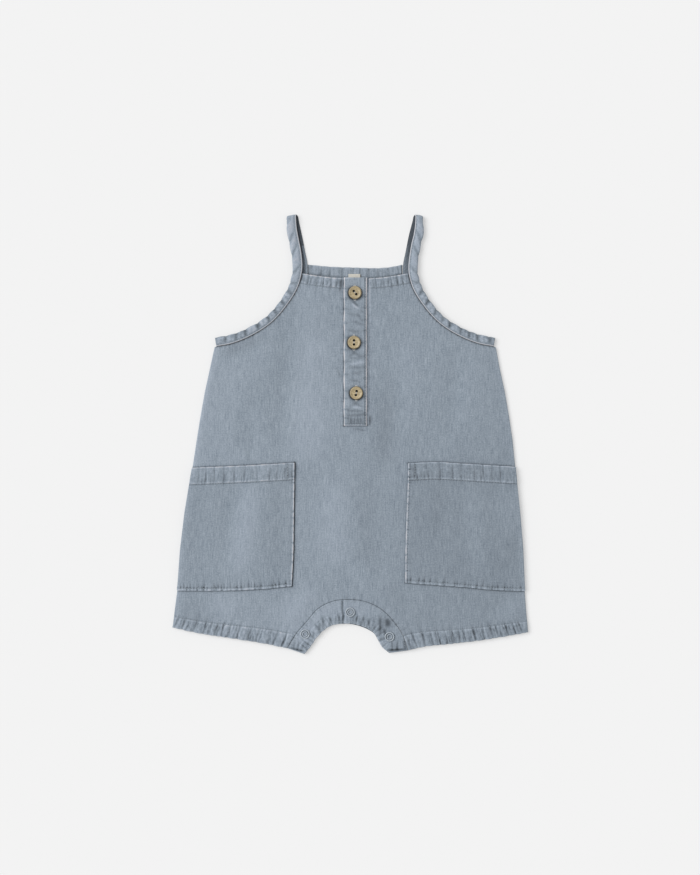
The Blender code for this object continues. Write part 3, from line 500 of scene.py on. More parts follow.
# Places painted paler or darker than the folds alone make them, most of them the light and shade
# of soft folds and creases, in the same columns.
FRONT_SHADES = [
    (-38, 10, 70, 26, 0.05, 2),
    (-16, -84, 90, 30, 0.05, 2),
    (-58, -172, 36, 30, 0.06, 30),
    (90, 60, 90, 40, 0.03, 0),
    (32, 6, 70, 16, -0.07, -4),
    (-103, 84, 40, 9, -0.18, -66),
    (-152, -166, 36, 26, -0.1, 0),
    (150, -168, 34, 30, 0.06, 0),
    (138, -158, 30, 10, -0.05, -60),
    (-10.6, 58, 11, 1.8, -0.26, 26),
    (8.5, 4.6, 12, 1.8, -0.3, 80),
    (18.8, 13.5, 9, 1.6, -0.62, 0),
    (27, 142, 14, 12, -0.04, 0),
    (-36, 113, 44, 34, -0.06, 0),
    (66, -180, 30, 34, -0.04, 0),
    (-97, -20, 12, 2.4, -0.14, 12),
    (-128, -23, 8, 2, -0.14, -8),
    (-9.4, 141, 12, 2.2, -0.5, -6),
    (-150, -176, 20, 16, -0.06, 0),
]

POCKET_FOLDS = [
    (-98.5, -90, 96, 19, 1, -8),
    (-68, -91, 96, 18, -0.35, -2),
    (-119, -77, 60, 12, -0.25, -6),
    (-150, -90, 90, 16, -0.2, -9),
    (84, -70, 45, 8, -0.3, 0),
    (120, -92, 80, 14, 0.5, 5),
    (150, -70, 50, 18, 0.45, 4),
    (152, -116, 40, 9, -0.2, -35),
]


def body(column, y):
    """A column of the body's sections, read at any height y."""
    return np.interp(y, BODY[:, 0], BODY[:, SECTION_COLUMNS.index(column)])


def folds(table_of_folds, spots):
    """Height of the soft folds in a table."""
    height = np.zeros(len(spots))
    for x0, y0, length, width, rise, degrees in table_of_folds:
        turn = math.radians(degrees)
        x, y = spots[:, 0] - x0, spots[:, 1] - y0
        along = (y * math.cos(turn) - x * math.sin(turn)) / (0.5 * length)
        across = (x * math.cos(turn) + y * math.sin(turn)) / (0.7 * width)
        height += rise * np.exp(-along**4 - across**2)
    return height


def front_floor(spots):
    """Underside of the front: a low pillow, pinched at the side seams, with its folds."""
    x, y = spots.T
    across = (x - body("lean", y)) / body("half_width", y)
    pinch = 1 - np.clip(np.abs(across), 0.0, 1.0) ** 4
    return SEAM_FLOOR + (body("lift", y) + folds(FRONT_FOLDS, spots)) * pinch


def front_skin(spots):
    """Upper side of the front, hems left out."""
    return front_floor(spots) + WALL


def crinkle(spots, seed):
    """The small unevenness of washed cloth, longer along the warp than across it."""
    return np.array([0.16 * noise.noise(Vector((x / 8.0, y / 21.0, seed)))
                     + 0.07 * noise.noise(Vector((x / 3.2, y / 6.5, seed + 7.0))) for x, y in spots])


chest = np.array([[0.0, 60.0]])
print("middle of the chest stands", round(float(front_skin(chest)[0]), 2), "mm high")

# %% [markdown]
# ## Puckers
#
# A row of stitches is a little shorter than the cloth it holds, so the cloth puffs up between
# creases that run in from the seam. After washing and rubbing, the top of each puff is paler, and
# it is painted paler still as a highlight, while each crease is painted dark as its shade.
# `creases` are distances along the seam, read off the garment, and `nicks` are the weaker ones
# between them. The same rule serves hems, bindings and seams.

# %% Puffs and creases
PITCH = 2.6                 # from one stitch to the next along a row
NO_CREASE = 99.0            # stands for the distance to a crease where there is none


def puffs(creases, length, height, seed):
    """Creases with the line's two ends added, and the height of the puff after each of them."""
    marks = np.array([0.0, *creases, length])
    draw = random.Random(seed)
    gaps = np.diff(marks)
    uneven = np.array([draw.uniform(0.75, 1.1) for _ in gaps])
    return marks, height * uneven * np.minimum(1.15, np.sqrt(gaps / gaps.mean()))


def puff_height(marks, heights, run):
    """Height of the cloth between creases: rounded puffs that meet in sharp valleys."""
    cell = np.clip(np.searchsorted(marks, run, side="right") - 1, 0, len(heights) - 1)
    share = np.clip((run - marks[cell]) / (marks[cell + 1] - marks[cell]), 0.0, 1.0)
    return heights[cell] * np.sin(math.pi * share) ** 0.75


def every(step, length, seed):
    """Uneven places along a seam of some length, about a step apart."""
    draw = random.Random(seed)
    return [step * (i + draw.uniform(-0.3, 0.3)) for i in range(1, int(length / step))]


def nearest_crease(marks, run):
    """Distance from a place along the line to the nearest crease, and which crease it is."""
    if len(marks) == 0:
        return np.full(len(run), NO_CREASE), np.zeros(len(run), int)
    gaps = np.abs(run[:, None] - np.asarray(marks)[None, :])
    return gaps.min(axis=1), gaps.argmin(axis=1)


def bell(value, width):
    """1 at zero, falling smoothly to nothing beyond about twice the width."""
    return np.exp(-(value / width) ** 2)


def blotches(spots, seed):
    """Uneven abrasion of a scuffed edge, from -1 to 1."""
    return np.array([noise.noise(Vector((x / 1.9, y / 2.8, seed + 0.5))) for x, y in spots])


three_creases = puffs([10.0, 20.0, 30.0], 40.0, 0.7, 1)[1]
print("puffs between three creases:", [round(float(height), 2) for height in three_creases], "mm")

# %% The stitched edge
HEM_RISE = 0.7
GROOVE = 0.3
WANDER = 0.4                # how far a crease strays from a straight course
CREASE_WIDTH, NICK_WIDTH, NICK_DEPTH = 0.75, 0.55, 0.8
# A puff's crest is paler by wear and painted highlight, the flank beside a crease by painted highlight, and
# its valley darker by painted shade; the speckles are uneven wear.
CREST_WEAR_AND_HIGHLIGHT, CREST_LEVEL, FLANK_HIGHLIGHT = 0.16, 0.65, 0.11
VALLEY_SHADE, SPECKLES = 0.50, 0.20
EDGE_ROWS = (1.1, 1.6, 2.1, 2.6)
STITCH_ROWS = (-1.4, -0.9, -0.4, 0.1, 0.6, 1.1)


class Hem:
    """A stitched edge or seam: a band of the given depth, with puffs between creases.

    rise is the height of the band, slant how its creases lean, reach how far they run on past the
    stitches, and clear the length at the start that has none. contrast scales all the shading, the
    painted light and shade of puffs and creases and their speckles, within and beyond the part of it
    inside the band and past it. edge pales the turned edge; ridge pales the cloth beside the row of
    stitches and paints shade into its groove. nicked is the depth of the nicks, and a rooted hem has
    its creases darkest at the stitches.
    """

    def __init__(self, points, depths, creases, height, rise=HEM_RISE, slant=0.0, reach=5.0, clear=0.0,
                 seed=1, nicks=(), groove=GROOVE, contrast=1.0, within=1.0, edge=0.0, ridge=0.0,
                 nicked=0.55, beyond=0.6, rooted=False):
        self.line = smooth_line(points, 1.0)
        self.length = run_of(self.line)[-1]
        self.depths = depths
        self.rise, self.slant, self.reach, self.clear = rise, slant, reach, clear
        self.groove, self.contrast, self.within, self.beyond = groove, contrast, within, beyond
        self.edge, self.ridge, self.nicked = edge, ridge, nicked
        self.height, self.seed = height, seed
        self.creases, self.heights = puffs(creases, self.length, height, seed)
        self.spread, self.floor = (0.32, 0.10) if rooted else (0.42, 0.35)
        crease_span = (0.4, 1.0) if rooted else (-0.1, 1.1)
        nick_span = (0.8, 1.05) if rooted else (-0.1, 1.1)
        draw = random.Random(seed + 500)
        self.crease_marks = self.drawn(draw, self.creases[1:-1], 0.55, crease_span)
        self.nick_marks = self.drawn(draw, nicks, 0.3, nick_span)

    @staticmethod
    def drawn(draw, places, faintest, span):
        """Places along the edge, how dark each is, and where across the band it is darkest."""
        strengths = np.array([draw.uniform(faintest, 1.25) for _ in range(len(places) + 1)])
        centres = np.array([draw.uniform(*span) for _ in range(len(places) + 1)])
        return places, strengths, centres

    def depth(self, run):
        """Distance from the edge to its row of stitches."""
        return np.interp(run, [0.0, self.length], self.depths)

    def shape(self, spots):
        """Height above the plain cloth, and its tone at each spot: abrasion with painted light and shade."""
        rise, tone = np.zeros(len(spots)), np.zeros(len(spots))
        close = near_line(self.line, spots, max(self.depths) + 4 * self.reach)
        if not close.any():
            return rise, tone
        run, inside = line_coords(self.line, spots[close])
        inside = np.abs(inside)
        depth = self.depth(run)
        past = inside - depth
        band = self.rise * (1 - smooth_step((past + 1.0) / 1.6))
        dent = self.groove * bell(past, 0.8)
        fade = np.where(inside < depth, self.within, self.beyond * np.exp(-past / self.reach))
        start = smooth_step((run - self.clear) / 2.0) if self.clear else 1.0
        leaned = run - self.slant * inside + WANDER * np.sin(0.25 * inside + 0.8 * run + self.seed)
        wave = puff_height(self.creases, self.heights, leaned)
        crest = wave / max(self.height, 1e-6)
        across = inside / np.maximum(depth, 6.0)
        valley = self.crease_shade(self.crease_marks, leaned, across, CREASE_WIDTH)
        nick = self.nicked * self.crease_shade(self.nick_marks, leaned, across, NICK_WIDTH)
        flank = bell(nearest_crease(self.creases[1:-1], leaned)[0] - 1.5, 0.7)
        rise[close] = (band + (wave - NICK_DEPTH * self.height * nick) * fade) * start - dent

        wear_and_painted_light = self.contrast * fade * (CREST_WEAR_AND_HIGHLIGHT * (crest - CREST_LEVEL) + FLANK_HIGHLIGHT * flank
                                       - VALLEY_SHADE * np.maximum(valley, nick))
        in_band = inside < depth
        spotted = np.zeros(len(run))
        spotted[in_band] = blotches(spots[close][in_band], self.seed)
        wear_and_painted_light += SPECKLES * self.contrast * self.within * spotted
        tick = 0.7 + 0.3 * np.sin(2 * math.pi * run / PITCH)
        # Beside the row of stitches the cloth is paler, and its groove gets painted shade.
        wear_and_painted_light += self.ridge * (0.6 + 0.4 * crest) * bell(past + 0.9, 0.55)
        wear_and_painted_light -= 1.1 * self.ridge * tick * bell(past - 0.2, 0.5)
        wear_and_painted_light += self.edge * (0.75 + 0.25 * crest) * bell(inside - 0.4, 0.5)
        tone[close] = wear_and_painted_light
        return rise, tone

    def crease_shade(self, marks, run, across, width):
        """Painted shade in creases: how dark each is, darkest at its own place across the band."""
        places, strengths, centres = marks
        gap, which = nearest_crease(places, run)
        here = bell(across - centres[which], self.spread)
        return strengths[which] * (self.floor + 0.80 * here) * bell(gap, width)

    def inward(self, distance):
        """A line that runs inside the edge; distance is a number, or a rule for it along the run."""
        runs = np.arange(0.0, self.length, 1.0)
        left = np.column_stack([np.interp(runs, run_of(self.line), column)
                                for column in left_of(self.line).T])
        shift = distance(runs) if callable(distance) else distance
        return points_at(self.line, runs) + left * np.reshape(shift, (-1, 1))

    def beside_stitches(self, shift):
        """A line along the row of stitches, shifted away from the edge."""
        return self.inward(lambda run: self.depth(run) + shift)

    def rows(self):
        """Lines beside the edge and beside the stitches, where the mesh is ruled finely."""
        lines = [self.inward(shift) for shift in EDGE_ROWS]
        if self.rise > 0.0 and min(self.depths) > 4.0:
            lines += [self.beside_stitches(shift) for shift in STITCH_ROWS]
        return lines

    def scalloped(self, amount):
        """The edge, pushed out a little by each puff."""
        runs = run_of(self.line)
        wave = puff_height(self.creases, self.heights, runs) / max(self.height, 1e-6)
        ends = smooth_step(runs / 6.0) * smooth_step((self.length - runs) / 6.0)
        return self.line - left_of(self.line) * (amount * (wave - 0.5) * ends)[:, None]


seam_trial = Hem([(0, 0), (40, 0)], (10, 10), [10, 20, 30], 0.7).shape(np.array([[15.0, 5.0]]))
print("halfway between two creases a hem stands", round(float(seam_trial[0][0]), 2), "mm high")

# %% [markdown]
# ## Making a cloth
#
# A cloth is a closed shell: an upper and a lower side that meet in a rounded rim, as a turned edge
# does. Its outline is drawn first, then filled with points, closer together near seams where the
# puckers are and wider apart on plain ground. A Delaunay fill joins them. Right beside an edge or
# a row of stitches the points are ruled in lines along it, so that a crisp ridge isn't cut into
# teeth by the grid. Subdividing and sculpting by hand would give the same sheet, but the hems are
# easier to place by rule.

# %% Points for a cloth
FINE, PLAIN = 0.95, 2.5     # distance of the points near seams and on plain ground
ROW_GAP = 0.42              # least distance between ruled points


def distances(spots, points):
    """Distance from each spot to the nearest of the points."""
    tree = KDTree(len(points))
    for index, point in enumerate(points):
        tree.insert((point[0], point[1], 0.0), index)
    tree.balance()
    return np.array([tree.find((x, y, 0.0))[2] for x, y in spots])


def inside_outline(outline, spots):
    """Which spots lie inside a closed outline."""
    following = np.roll(outline, -1, axis=0)
    x1, y1 = outline[None, :, 0], outline[None, :, 1]
    x2, y2 = following[None, :, 0], following[None, :, 1]
    climb = np.where(y2 == y1, 1.0, y2 - y1)
    found = []
    for part in np.array_split(spots, max(1, len(spots) // AT_ONCE)):
        x, y = part[:, 0, None], part[:, 1, None]
        crosses = (y1 > y) != (y2 > y)
        found.append((crosses & (x < (x2 - x1) * (y - y1) / climb + x1)).sum(axis=1) % 2 == 1)
    return np.concatenate(found)


def inset(outline, distance):
    """A closed outline moved inwards; an outline runs counter-clockwise."""
    before = outline - np.roll(outline, 1, axis=0)
    after = np.roll(outline, -1, axis=0) - outline
    before /= np.linalg.norm(before, axis=1)[:, None]
    after /= np.linalg.norm(after, axis=1)[:, None]
    middle = before + after
    middle /= np.linalg.norm(middle, axis=1)[:, None]
    left = np.column_stack([-middle[:, 1], middle[:, 0]])
    mitre = np.clip((middle * before).sum(axis=1), 0.6, 1.0)
    return outline + left * (distance / mitre)[:, None]


def scattered(outline, spacing, near=None, reach=0.0):
    """A triangular grid inside an outline: all of it, only near some lines, or only away from them."""
    low, high = outline.min(axis=0), outline.max(axis=0)
    rows = []
    for index, y in enumerate(np.arange(low[1] + 0.3 * spacing, high[1], spacing * math.sqrt(0.75))):
        x = np.arange(low[0] + (0.3 + (index % 2) * 0.5) * spacing, high[0], spacing)
        rows.append(np.column_stack([x, np.full(len(x), y)]))
    spots = np.vstack(rows)
    if near is not None and len(near):
        gap = distances(spots, near)
        spots = spots[gap < reach] if reach > 0 else spots[gap > -reach]
    spots = spots[inside_outline(outline, spots)]
    return spots[distances(spots, outline) > 0.55 * spacing]


def parallel(line, shifts):
    """Copies of a line, each moved to its left by one of the shifts."""
    return [line[:, :2] + left_of(line) * shift for shift in shifts]


def ruled(outline, rows):
    """The points of some rows that lie inside an outline, none of them crowding another."""
    spots = np.vstack(rows)
    spots = spots[inside_outline(outline, spots)]
    spots = spots[distances(spots, outline) > 0.3]
    shade_and_wear_share, cells = [], {}
    for spot in spots:
        column, row = int(spot[0] // ROW_GAP), int(spot[1] // ROW_GAP)
        around = [(column + i, row + j) for i in (-1, 0, 1) for j in (-1, 0, 1)]
        near = [other for cell in around for other in cells.get(cell, ())]
        if all((spot[0] - x) ** 2 + (spot[1] - y) ** 2 > ROW_GAP**2 for x, y in near):
            cells.setdefault((column, row), []).append(tuple(spot))
            shade_and_wear_share.append(spot)
    return np.array(shade_and_wear_share)


def fill(outline, inner):
    """Triangles between an outline and the points inside it, all facing up."""
    spots = np.vstack([outline, inner]) if len(inner) else outline
    edges = [(i, (i + 1) % len(outline)) for i in range(len(outline))]
    result = delaunay_2d_cdt([tuple(spot) for spot in spots], edges, [], 1, 1e-5)
    origins = [ids[0] for ids in result[3]]
    triangles = []
    for face in result[2]:
        a, b, c = (origins[i] for i in face)
        ab, ac = spots[b] - spots[a], spots[c] - spots[a]
        triangles.append((a, b, c) if ab[0] * ac[1] - ab[1] * ac[0] > 0 else (a, c, b))
    return spots, triangles


square = np.array([(0.0, 0.0), (40.0, 0.0), (40.0, 40.0), (0.0, 40.0)])
print("a 40 mm square holds", len(scattered(square, PLAIN)), "plain points")

# %% A finished piece
def new_piece(name, points, faces, finish):
    """A smooth object from points in millimetres, riding on the garment's one body."""
    mesh = bpy.data.meshes.new(name)
    mesh.from_pydata([tuple(point) for point in np.asarray(points) * MM], [], faces)
    mesh.polygons.foreach_set("use_smooth", [True] * len(mesh.polygons))
    mesh.materials.append(finish)
    piece = bpy.data.objects.new(name, mesh)
    bpy.context.scene.collection.objects.link(piece)
    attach(piece, "root")
    return piece


def dress(name, points, faces, grain, tone, finish, slot, *nodes):
    """A cloth with its two attributes, in place of the solids that it dresses."""
    piece = new_piece(name, points, faces, finish)
    place = piece.data.attributes.new("grain", "FLOAT_VECTOR", "POINT")
    flat = np.column_stack([grain, np.zeros(len(grain))]) * MM
    place.data.foreach_set("vector", flat.astype(np.float32).ravel())
    wear_and_painted_light = piece.data.attributes.new("tone", "FLOAT", "POINT")
    wear_and_painted_light.data.foreach_set("value", np.asarray(tone, np.float32))
    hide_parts(*nodes)
    print(f"{name}: {len(points)} points, {len(faces)} faces")
    return piece


# %% The shell of a cloth
RIM_STEPS = (0.0, 0.15, 0.5, 1.0)           # rings of the rounded rim, as shares of its width
# The ring that the sides share comes first, and then each ring's upper and lower copy in turn.
UPPER_RINGS, LOWER_RINGS, RIM_RINGS = (0, 1, 3), (0, 2, 4), 5


def spread_points(outline, fine, plain, seams, reach):
    """Points close together near the seams and wider apart on plain ground."""
    near = [scattered(outline, fine, seams, reach)] if len(seams) else []
    return np.vstack([*near, scattered(outline, plain, seams, -(reach + 0.4 * plain))])


def cloth(name, outline, upper, lower, seams, nodes, finish=outer_cloth, slot="chambray",
          grain=None, fine_reach=16.0, plain=PLAIN, under=9.0, rim=0.5, under_fine=0.0, rows=()):
    """A closed shell of cloth, its mesh fine near the seams. upper and lower give height and tone.

    grain says where each spot was on the flat cloth; without it the warp runs along Y.
    """
    rings = [inset(outline, share * rim) for share in RIM_STEPS]
    seam_points = np.vstack(seams) if seams else np.zeros((0, 2))
    last = rings[-1]
    top_inner = spread_points(last, FINE, plain, seam_points, fine_reach)
    if len(rows):
        lines = ruled(last, rows)
        top_inner = np.vstack([lines, top_inner[distances(top_inner, lines) > 0.75]])
    top_spots, top_faces = fill(last, top_inner)
    low_inner = (spread_points(last, under_fine, under, seam_points, fine_reach) if under_fine
                 else scattered(last, under))
    low_spots, low_faces = fill(last, low_inner)

    layers = []             # plan, height and tone, one set after another
    for ring, share in zip(rings[:-1], RIM_STEPS):
        high, high_tone = upper(ring)
        low, low_tone = lower(ring)
        middle = (high + low) / 2
        bulge = math.sqrt(1 - (1 - share) ** 2)
        layers.append((ring, middle + (high - middle) * bulge, high_tone))
        if share > 0:
            layers.append((ring, middle + (low - middle) * bulge, low_tone))
    layers += [(top_spots, *upper(top_spots)), (low_spots, *lower(low_spots))]
    spots, heights, tones = (np.concatenate(column) for column in zip(*layers))

    count = len(outline)
    top_start = RIM_RINGS * count
    low_start = top_start + len(top_spots)
    starts_up = [count * ring for ring in UPPER_RINGS] + [top_start]
    starts_low = [count * ring for ring in LOWER_RINGS] + [low_start]
    after = [(i + 1) % count for i in range(count)]
    faces = []
    for outer, inner in zip(starts_up, starts_up[1:]):
        faces += [(outer + i, outer + after[i], inner + after[i], inner + i) for i in range(count)]
    for outer, inner in zip(starts_low, starts_low[1:]):
        faces += [(outer + i, inner + i, inner + after[i], outer + after[i]) for i in range(count)]
    faces += [(top_start + a, top_start + b, top_start + c) for a, b, c in top_faces]
    faces += [(low_start + a, low_start + c, low_start + b) for a, b, c in low_faces]
    points = np.column_stack([spots, heights])
    flat = grain(spots) if grain else spots
    return dress(name, points, faces, flat, tones, finish, slot, *nodes)


# %% [markdown]
# ## Edges of the garment
#
# These are the seam and edge lines of the pieces, each with the cloth on the left of its travel,
# and the creases along them.

# %% Edge tables
LEG_LEFT = [(-168.9, -183.1), (-141, -189.1), (-106.2, -194.3), (-78.3, -199), (-59.9, -202.8)]
LEG_RIGHT = [
    (55.3, -204.9), (65.7, -202.2), (93.7, -198.9), (121.5, -195.6), (149.4, -191.2), (168.9, -187.7),
]
CROTCH_SEAM = [
    (-59.7, -202.9), (-51.3, -189.3), (-41.1, -177.5), (-30.1, -165.1), (-15.7, -158.1), (0.4, -156.7),
    (14.8, -158.7), (29.3, -165.6), (42.8, -179.2), (50.4, -191), (55.1, -205),
]
CROTCH_EDGE = [
    (-43.3, -208.4), (-38, -202.1), (-33, -194.6), (-26, -186.7), (-17.2, -181.2), (-7.2, -179.6),
    (1.2, -179.6), (9.6, -181.2), (17.6, -184.4), (23, -188.6), (26.6, -194.6), (31, -202.2),
    (37.9, -207.3),
]
BACK_CROTCH_EDGE = [
    (-43, -208.2), (-37.8, -201.9), (-32.8, -194.4), (-25.8, -186.6), (-17, -181.3), (-7.2, -180),
    (1.2, -180.3), (9.3, -182.2), (17.3, -185.5), (22.8, -189.2), (26.3, -195), (30.8, -202.4),
    (37.2, -207.6),
]
NECK_LEFT = [(-2.9, 147.7), (-16, 148.4), (-31, 150.2), (-45.3, 152.5)]
NECK_RIGHT = [(54.7, 152.5), (42, 150.3), (30, 148.6), (18.1, 147.7)]
BACK_NECK = [(49.5, 161.1), (38.6, 158.8), (28.9, 157.9), (5, 158.3), (-15.4, 158.9), (-40.1, 161.1)]

LEG_LEFT_CREASES = [2.5, 9.5, 20, 29.5, 35, 41, 47, 53.5, 62, 72.5, 80.5, 91.5, 97, 105.5]
LEG_RIGHT_CREASES = [3.5, 9.5, 17.5, 24.5, 31, 38, 44.5, 50.5, 55.5, 65, 73.5, 81.5, 87, 96.5, 103.5, 109.5]
NECK_LEFT_CREASES = [4.8, 9.5, 15, 22, 27.5, 36]
NECK_RIGHT_CREASES = [6, 11, 17, 24, 31]
BACK_NECK_CREASES = [5, 14, 23, 32, 40, 47, 57, 69, 77, 87]
CROTCH_CREASES = [5, 10, 18, 26.5, 33.5, 39, 45.5, 49.7, 56.5, 60.6, 66, 72, 78, 84, 89.5, 96]
MOUTH_LEFT_CREASES = [8.5, 16, 23, 35.5, 47, 56.5, 66.5, 76, 84, 90.5]
MOUTH_RIGHT_CREASES = [15, 23, 31.5, 40, 52.5, 60.5, 73.5, 85, 96.5]
BOTTOM_LEFT_CREASES = [6.5, 13, 18.5, 25, 35, 42, 50.5, 56.5, 61.5, 68.5, 73.5, 79.5, 91, 97, 103.5]
BOTTOM_RIGHT_CREASES = [4.5, 12.5, 18, 23.5, 29.5, 37, 46.5, 56.5, 62, 67.5, 73.5, 82.5, 88, 94, 102, 110]
BINDING_LEFT_CREASES = [9.5, 20, 29.5, 43, 55.5, 65, 76, 88.5, 98, 112, 132, 145]
BINDING_RIGHT_CREASES = [4.5, 16.5, 25, 34, 46, 54.5, 64, 76.5, 87.5, 99, 112, 131, 145]
OVER_LEFT_CREASES = [10.5, 20.5, 30, 43, 57, 68.5, 80, 92, 107.5, 114.5, 125, 133]
OVER_RIGHT_CREASES = [11, 27.5, 37, 45, 55.5, 66, 79, 90, 100, 112, 122.5]

POCKET_LEFT_TOP = [(-52.5, -26.8), (-97.9, -29.4), (-149.8, -31.6)]
POCKET_LEFT_BOTTOM = [(-163.9, -148.3), (-134, -148.3), (-106.2, -147.8), (-78.3, -146.2), (-55.3, -143.9)]
POCKET_LEFT_INNER = [(-55.3, -143.9), (-53.9, -116.9), (-53.2, -75.1), (-52.5, -26.8)]
POCKET_RIGHT_TOP = [(157.3, -30.8), (135.5, -29.4), (107.5, -27.7), (79.7, -26.3), (54.9, -27.4)]
POCKET_RIGHT_BOTTOM = [(52.3, -140.7), (79.7, -142.7), (107.5, -144.8), (135.5, -147.5), (166, -148.7)]
POCKET_RIGHT_INNER = [(54.9, -27.4), (54.6, -47.2), (53.5, -75.1), (52.5, -109.9), (52.3, -140.7)]
SLOT_LEFT, SLOT_RIGHT, SLOT_BOTTOM = -2.9, 18.1, 8.5
OVER_LEFT, OVER_RIGHT, OVER_BOTTOM, OVER_TOP = -5.9, 15.9, 8.1, 148.6

# Left binding, as x, y and width: from the side seam up to the fold at the shoulder, and down the
# back. The right one is its mirror image, with a narrower strap that lies further out.
MIRROR_X = 4.7
BINDING_FRONT = [
    (-127.6, 87.7, 8.5), (-114.5, 89.9, 8.2), (-95.3, 97.2, 7.6), (-77.1, 108.8, 7.2),
    (-63.1, 124.5, 7.4), (-53.6, 140.8, 8.2), (-49.9, 156.1, 9), (-50.9, 171.7, 9.4), (-53.2, 183.6, 9.5),
    (-55.3, 195.3, 9.5), (-56, 205.37, 9.5),
]
BINDING_BACK = [
    (-54.04, 205.79, 9.5), (-53.2, 201.2, 9.5), (-51.6, 193.6, 9.5), (-49.3, 182.7, 9.5),
    (-47, 171.3, 9.3), (-45.2, 162.7, 9.2), (-44.9, 151.3, 9), (-49.9, 138.5, 8.6), (-61.8, 121, 8),
    (-77.7, 106.3, 8), (-96, 95.2, 8), (-114, 88.4, 8.2), (-127, 86.1, 8.5),
]
LAP = 0.12                  # clear space that shows at a seam


def mirrored(line):
    """A line of the left half on the right half."""
    flipped = line.copy()
    flipped[:, 0] = 2 * MIRROR_X - flipped[:, 0]
    return flipped


def side_line(side, low, high):
    """A side seam from y = low to y = high; side is -1 on the left and +1 on the right."""
    y = np.linspace(low, high, max(2, round(abs(high - low) / 1.6) + 1))
    return np.column_stack([body("lean", y) + side * body("half_width", y), y])


def binding_edge(stops, side, top):
    """The seam that a panel shares with a binding, from the side seam up to y = top."""
    line = smooth_line(stops, 1.2)
    seam = line[:, :2] + side * left_of(line) * (line[:, 2] / 2 + LAP)[:, None]
    if seam[0, 1] > seam[-1, 1]:
        seam = seam[::-1]
    cut = np.argmax(seam[:, 1] > top)
    share = (top - seam[cut - 1, 1]) / (seam[cut, 1] - seam[cut - 1, 1])
    corner = seam[cut - 1] + share * (seam[cut] - seam[cut - 1])
    return np.vstack([seam[:cut], corner])


armhole_front = binding_edge(BINDING_FRONT, -1, NECK_LEFT[-1][1])
armhole_back = binding_edge(BINDING_BACK, 1, BACK_NECK[-1][1])
crotch_seam = smooth_line(CROTCH_SEAM, 1.2)
print("armhole seam:", round(run_of(armhole_front)[-1], 1), "mm; crotch seam:",
      round(run_of(crotch_seam)[-1], 1), "mm")

# %% [markdown]
# ## The front
#
# The front is the largest piece and everything else is sewn to it. It has turned hems at the legs
# and the neck, a slot for the placket, and plain seams to the bindings and the crotch band. Beside
# a pocket, the placket, a binding or the crotch seam, a shadow is painted into its tone.

# %% Front hems and seams
left_leg = Hem(LEG_LEFT, (10.5, 14.5), LEG_LEFT_CREASES, 0.75, slant=0.15, seed=11, nicked=0.75,
               nicks=every(3.1, 110.0, 14), edge=0.14, ridge=0.26, contrast=1.35)
right_leg = Hem(LEG_RIGHT, (14.5, 10.5), LEG_RIGHT_CREASES, 0.75, slant=-0.15, seed=12, nicked=0.75,
                nicks=every(3.1, 115.0, 15), edge=0.14, ridge=0.24, contrast=1.2)
neck_left = Hem(NECK_LEFT, (9.3, 9.3), NECK_LEFT_CREASES, 0.55, clear=3.6, seed=13, nicked=0.7,
                nicks=every(2.2, 44.0, 16), edge=0.62, ridge=0.24, contrast=1.35)
neck_right = Hem(NECK_RIGHT, (9.3, 9.3), NECK_RIGHT_CREASES, 0.55, seed=18, nicked=0.7,
                 nicks=every(2.2, 38.0, 17), edge=0.62, ridge=0.22, contrast=1.15)
front_hems = [left_leg, right_leg, neck_left, neck_right]


def pull(line, creases, height, reach, seed, slant=0.0, contrast=1.0):
    """The creases that a seam sends into the plain cloth beside it."""
    return Hem([tuple(point) for point in line], (0.0, 0.0), creases, height, rise=0.0, slant=slant,
               reach=reach, seed=seed, groove=0.0, contrast=contrast, within=0.6)


armhole_run = run_of(armhole_front)[-1]
crotch_pulls = every(6.0, run_of(crotch_seam)[-1], 85)
front_pulls = [
    pull(armhole_front[::8][::-1], every(4.6, armhole_run, 81), 0.30, 2.8, 82, slant=0.5),
    pull(mirrored(armhole_front)[::8], every(4.6, armhole_run, 83), 0.30, 2.8, 84, slant=-0.5),
    pull(crotch_seam[::8], crotch_pulls, 0.26, 4.0, 86, contrast=0.8),
    pull([(OVER_LEFT - 0.3, 140.0), (OVER_LEFT - 0.3, OVER_BOTTOM)],
         every(6.5, 131.0, 87), 0.22, 2.2, 88, contrast=0.8),
    pull([(SLOT_RIGHT, SLOT_BOTTOM), (SLOT_RIGHT, 140.0)],
         every(6.5, 131.0, 89), 0.22, 2.2, 90, contrast=0.8),
]
print("front:", len(front_hems), "hems and", len(front_pulls), "seams that pull on it")

# %% What lies on the front

# Lines that lie on the front, with how dark the painted shadow beside each of them is.
pocket_lines = [(smooth_line(points, 1.2), depth) for points, depth in (
    (POCKET_LEFT_TOP, 0.55), (POCKET_LEFT_BOTTOM, 0.28), (POCKET_LEFT_INNER, 0.68),
    (POCKET_RIGHT_TOP, 0.46), (POCKET_RIGHT_BOTTOM, 0.40), (POCKET_RIGHT_INNER, 0.16))]
placket_y = np.arange(OVER_BOTTOM, NECK_LEFT[0][1], 1.2)
over_left_line = upright(OVER_LEFT, placket_y)
over_right_line = upright(OVER_RIGHT, placket_y)
slot_line = upright(SLOT_RIGHT, placket_y)
over_end_line = level(np.arange(OVER_LEFT, SLOT_RIGHT, 1.2), OVER_BOTTOM)
front_lines = pocket_lines + [(over_left_line, 0.60), (over_end_line, 0.36), (armhole_front, 0.85),
                              (mirrored(armhole_front), 0.70), (crotch_seam, 0.10)]


print("lines that darken the front beside them:", len(front_lines))

# %% Height and tone of the front
def painted_shadow_line(line, spots, depth, width=1.0):
    """Painted shadow: a dark line beside something that lies on the cloth."""
    tone = np.zeros(len(spots))
    close = near_line(line, spots, 4 * width)
    if close.any():
        tone[close] = -depth * bell(line_coords(line, spots[close])[1], width)
    return tone


# Painted light falloff: tone lost for each millimetre to the right, away from the lamp.
LIGHT_FALLOFF_ACROSS = -0.00042      # tone for each millimetre to the right


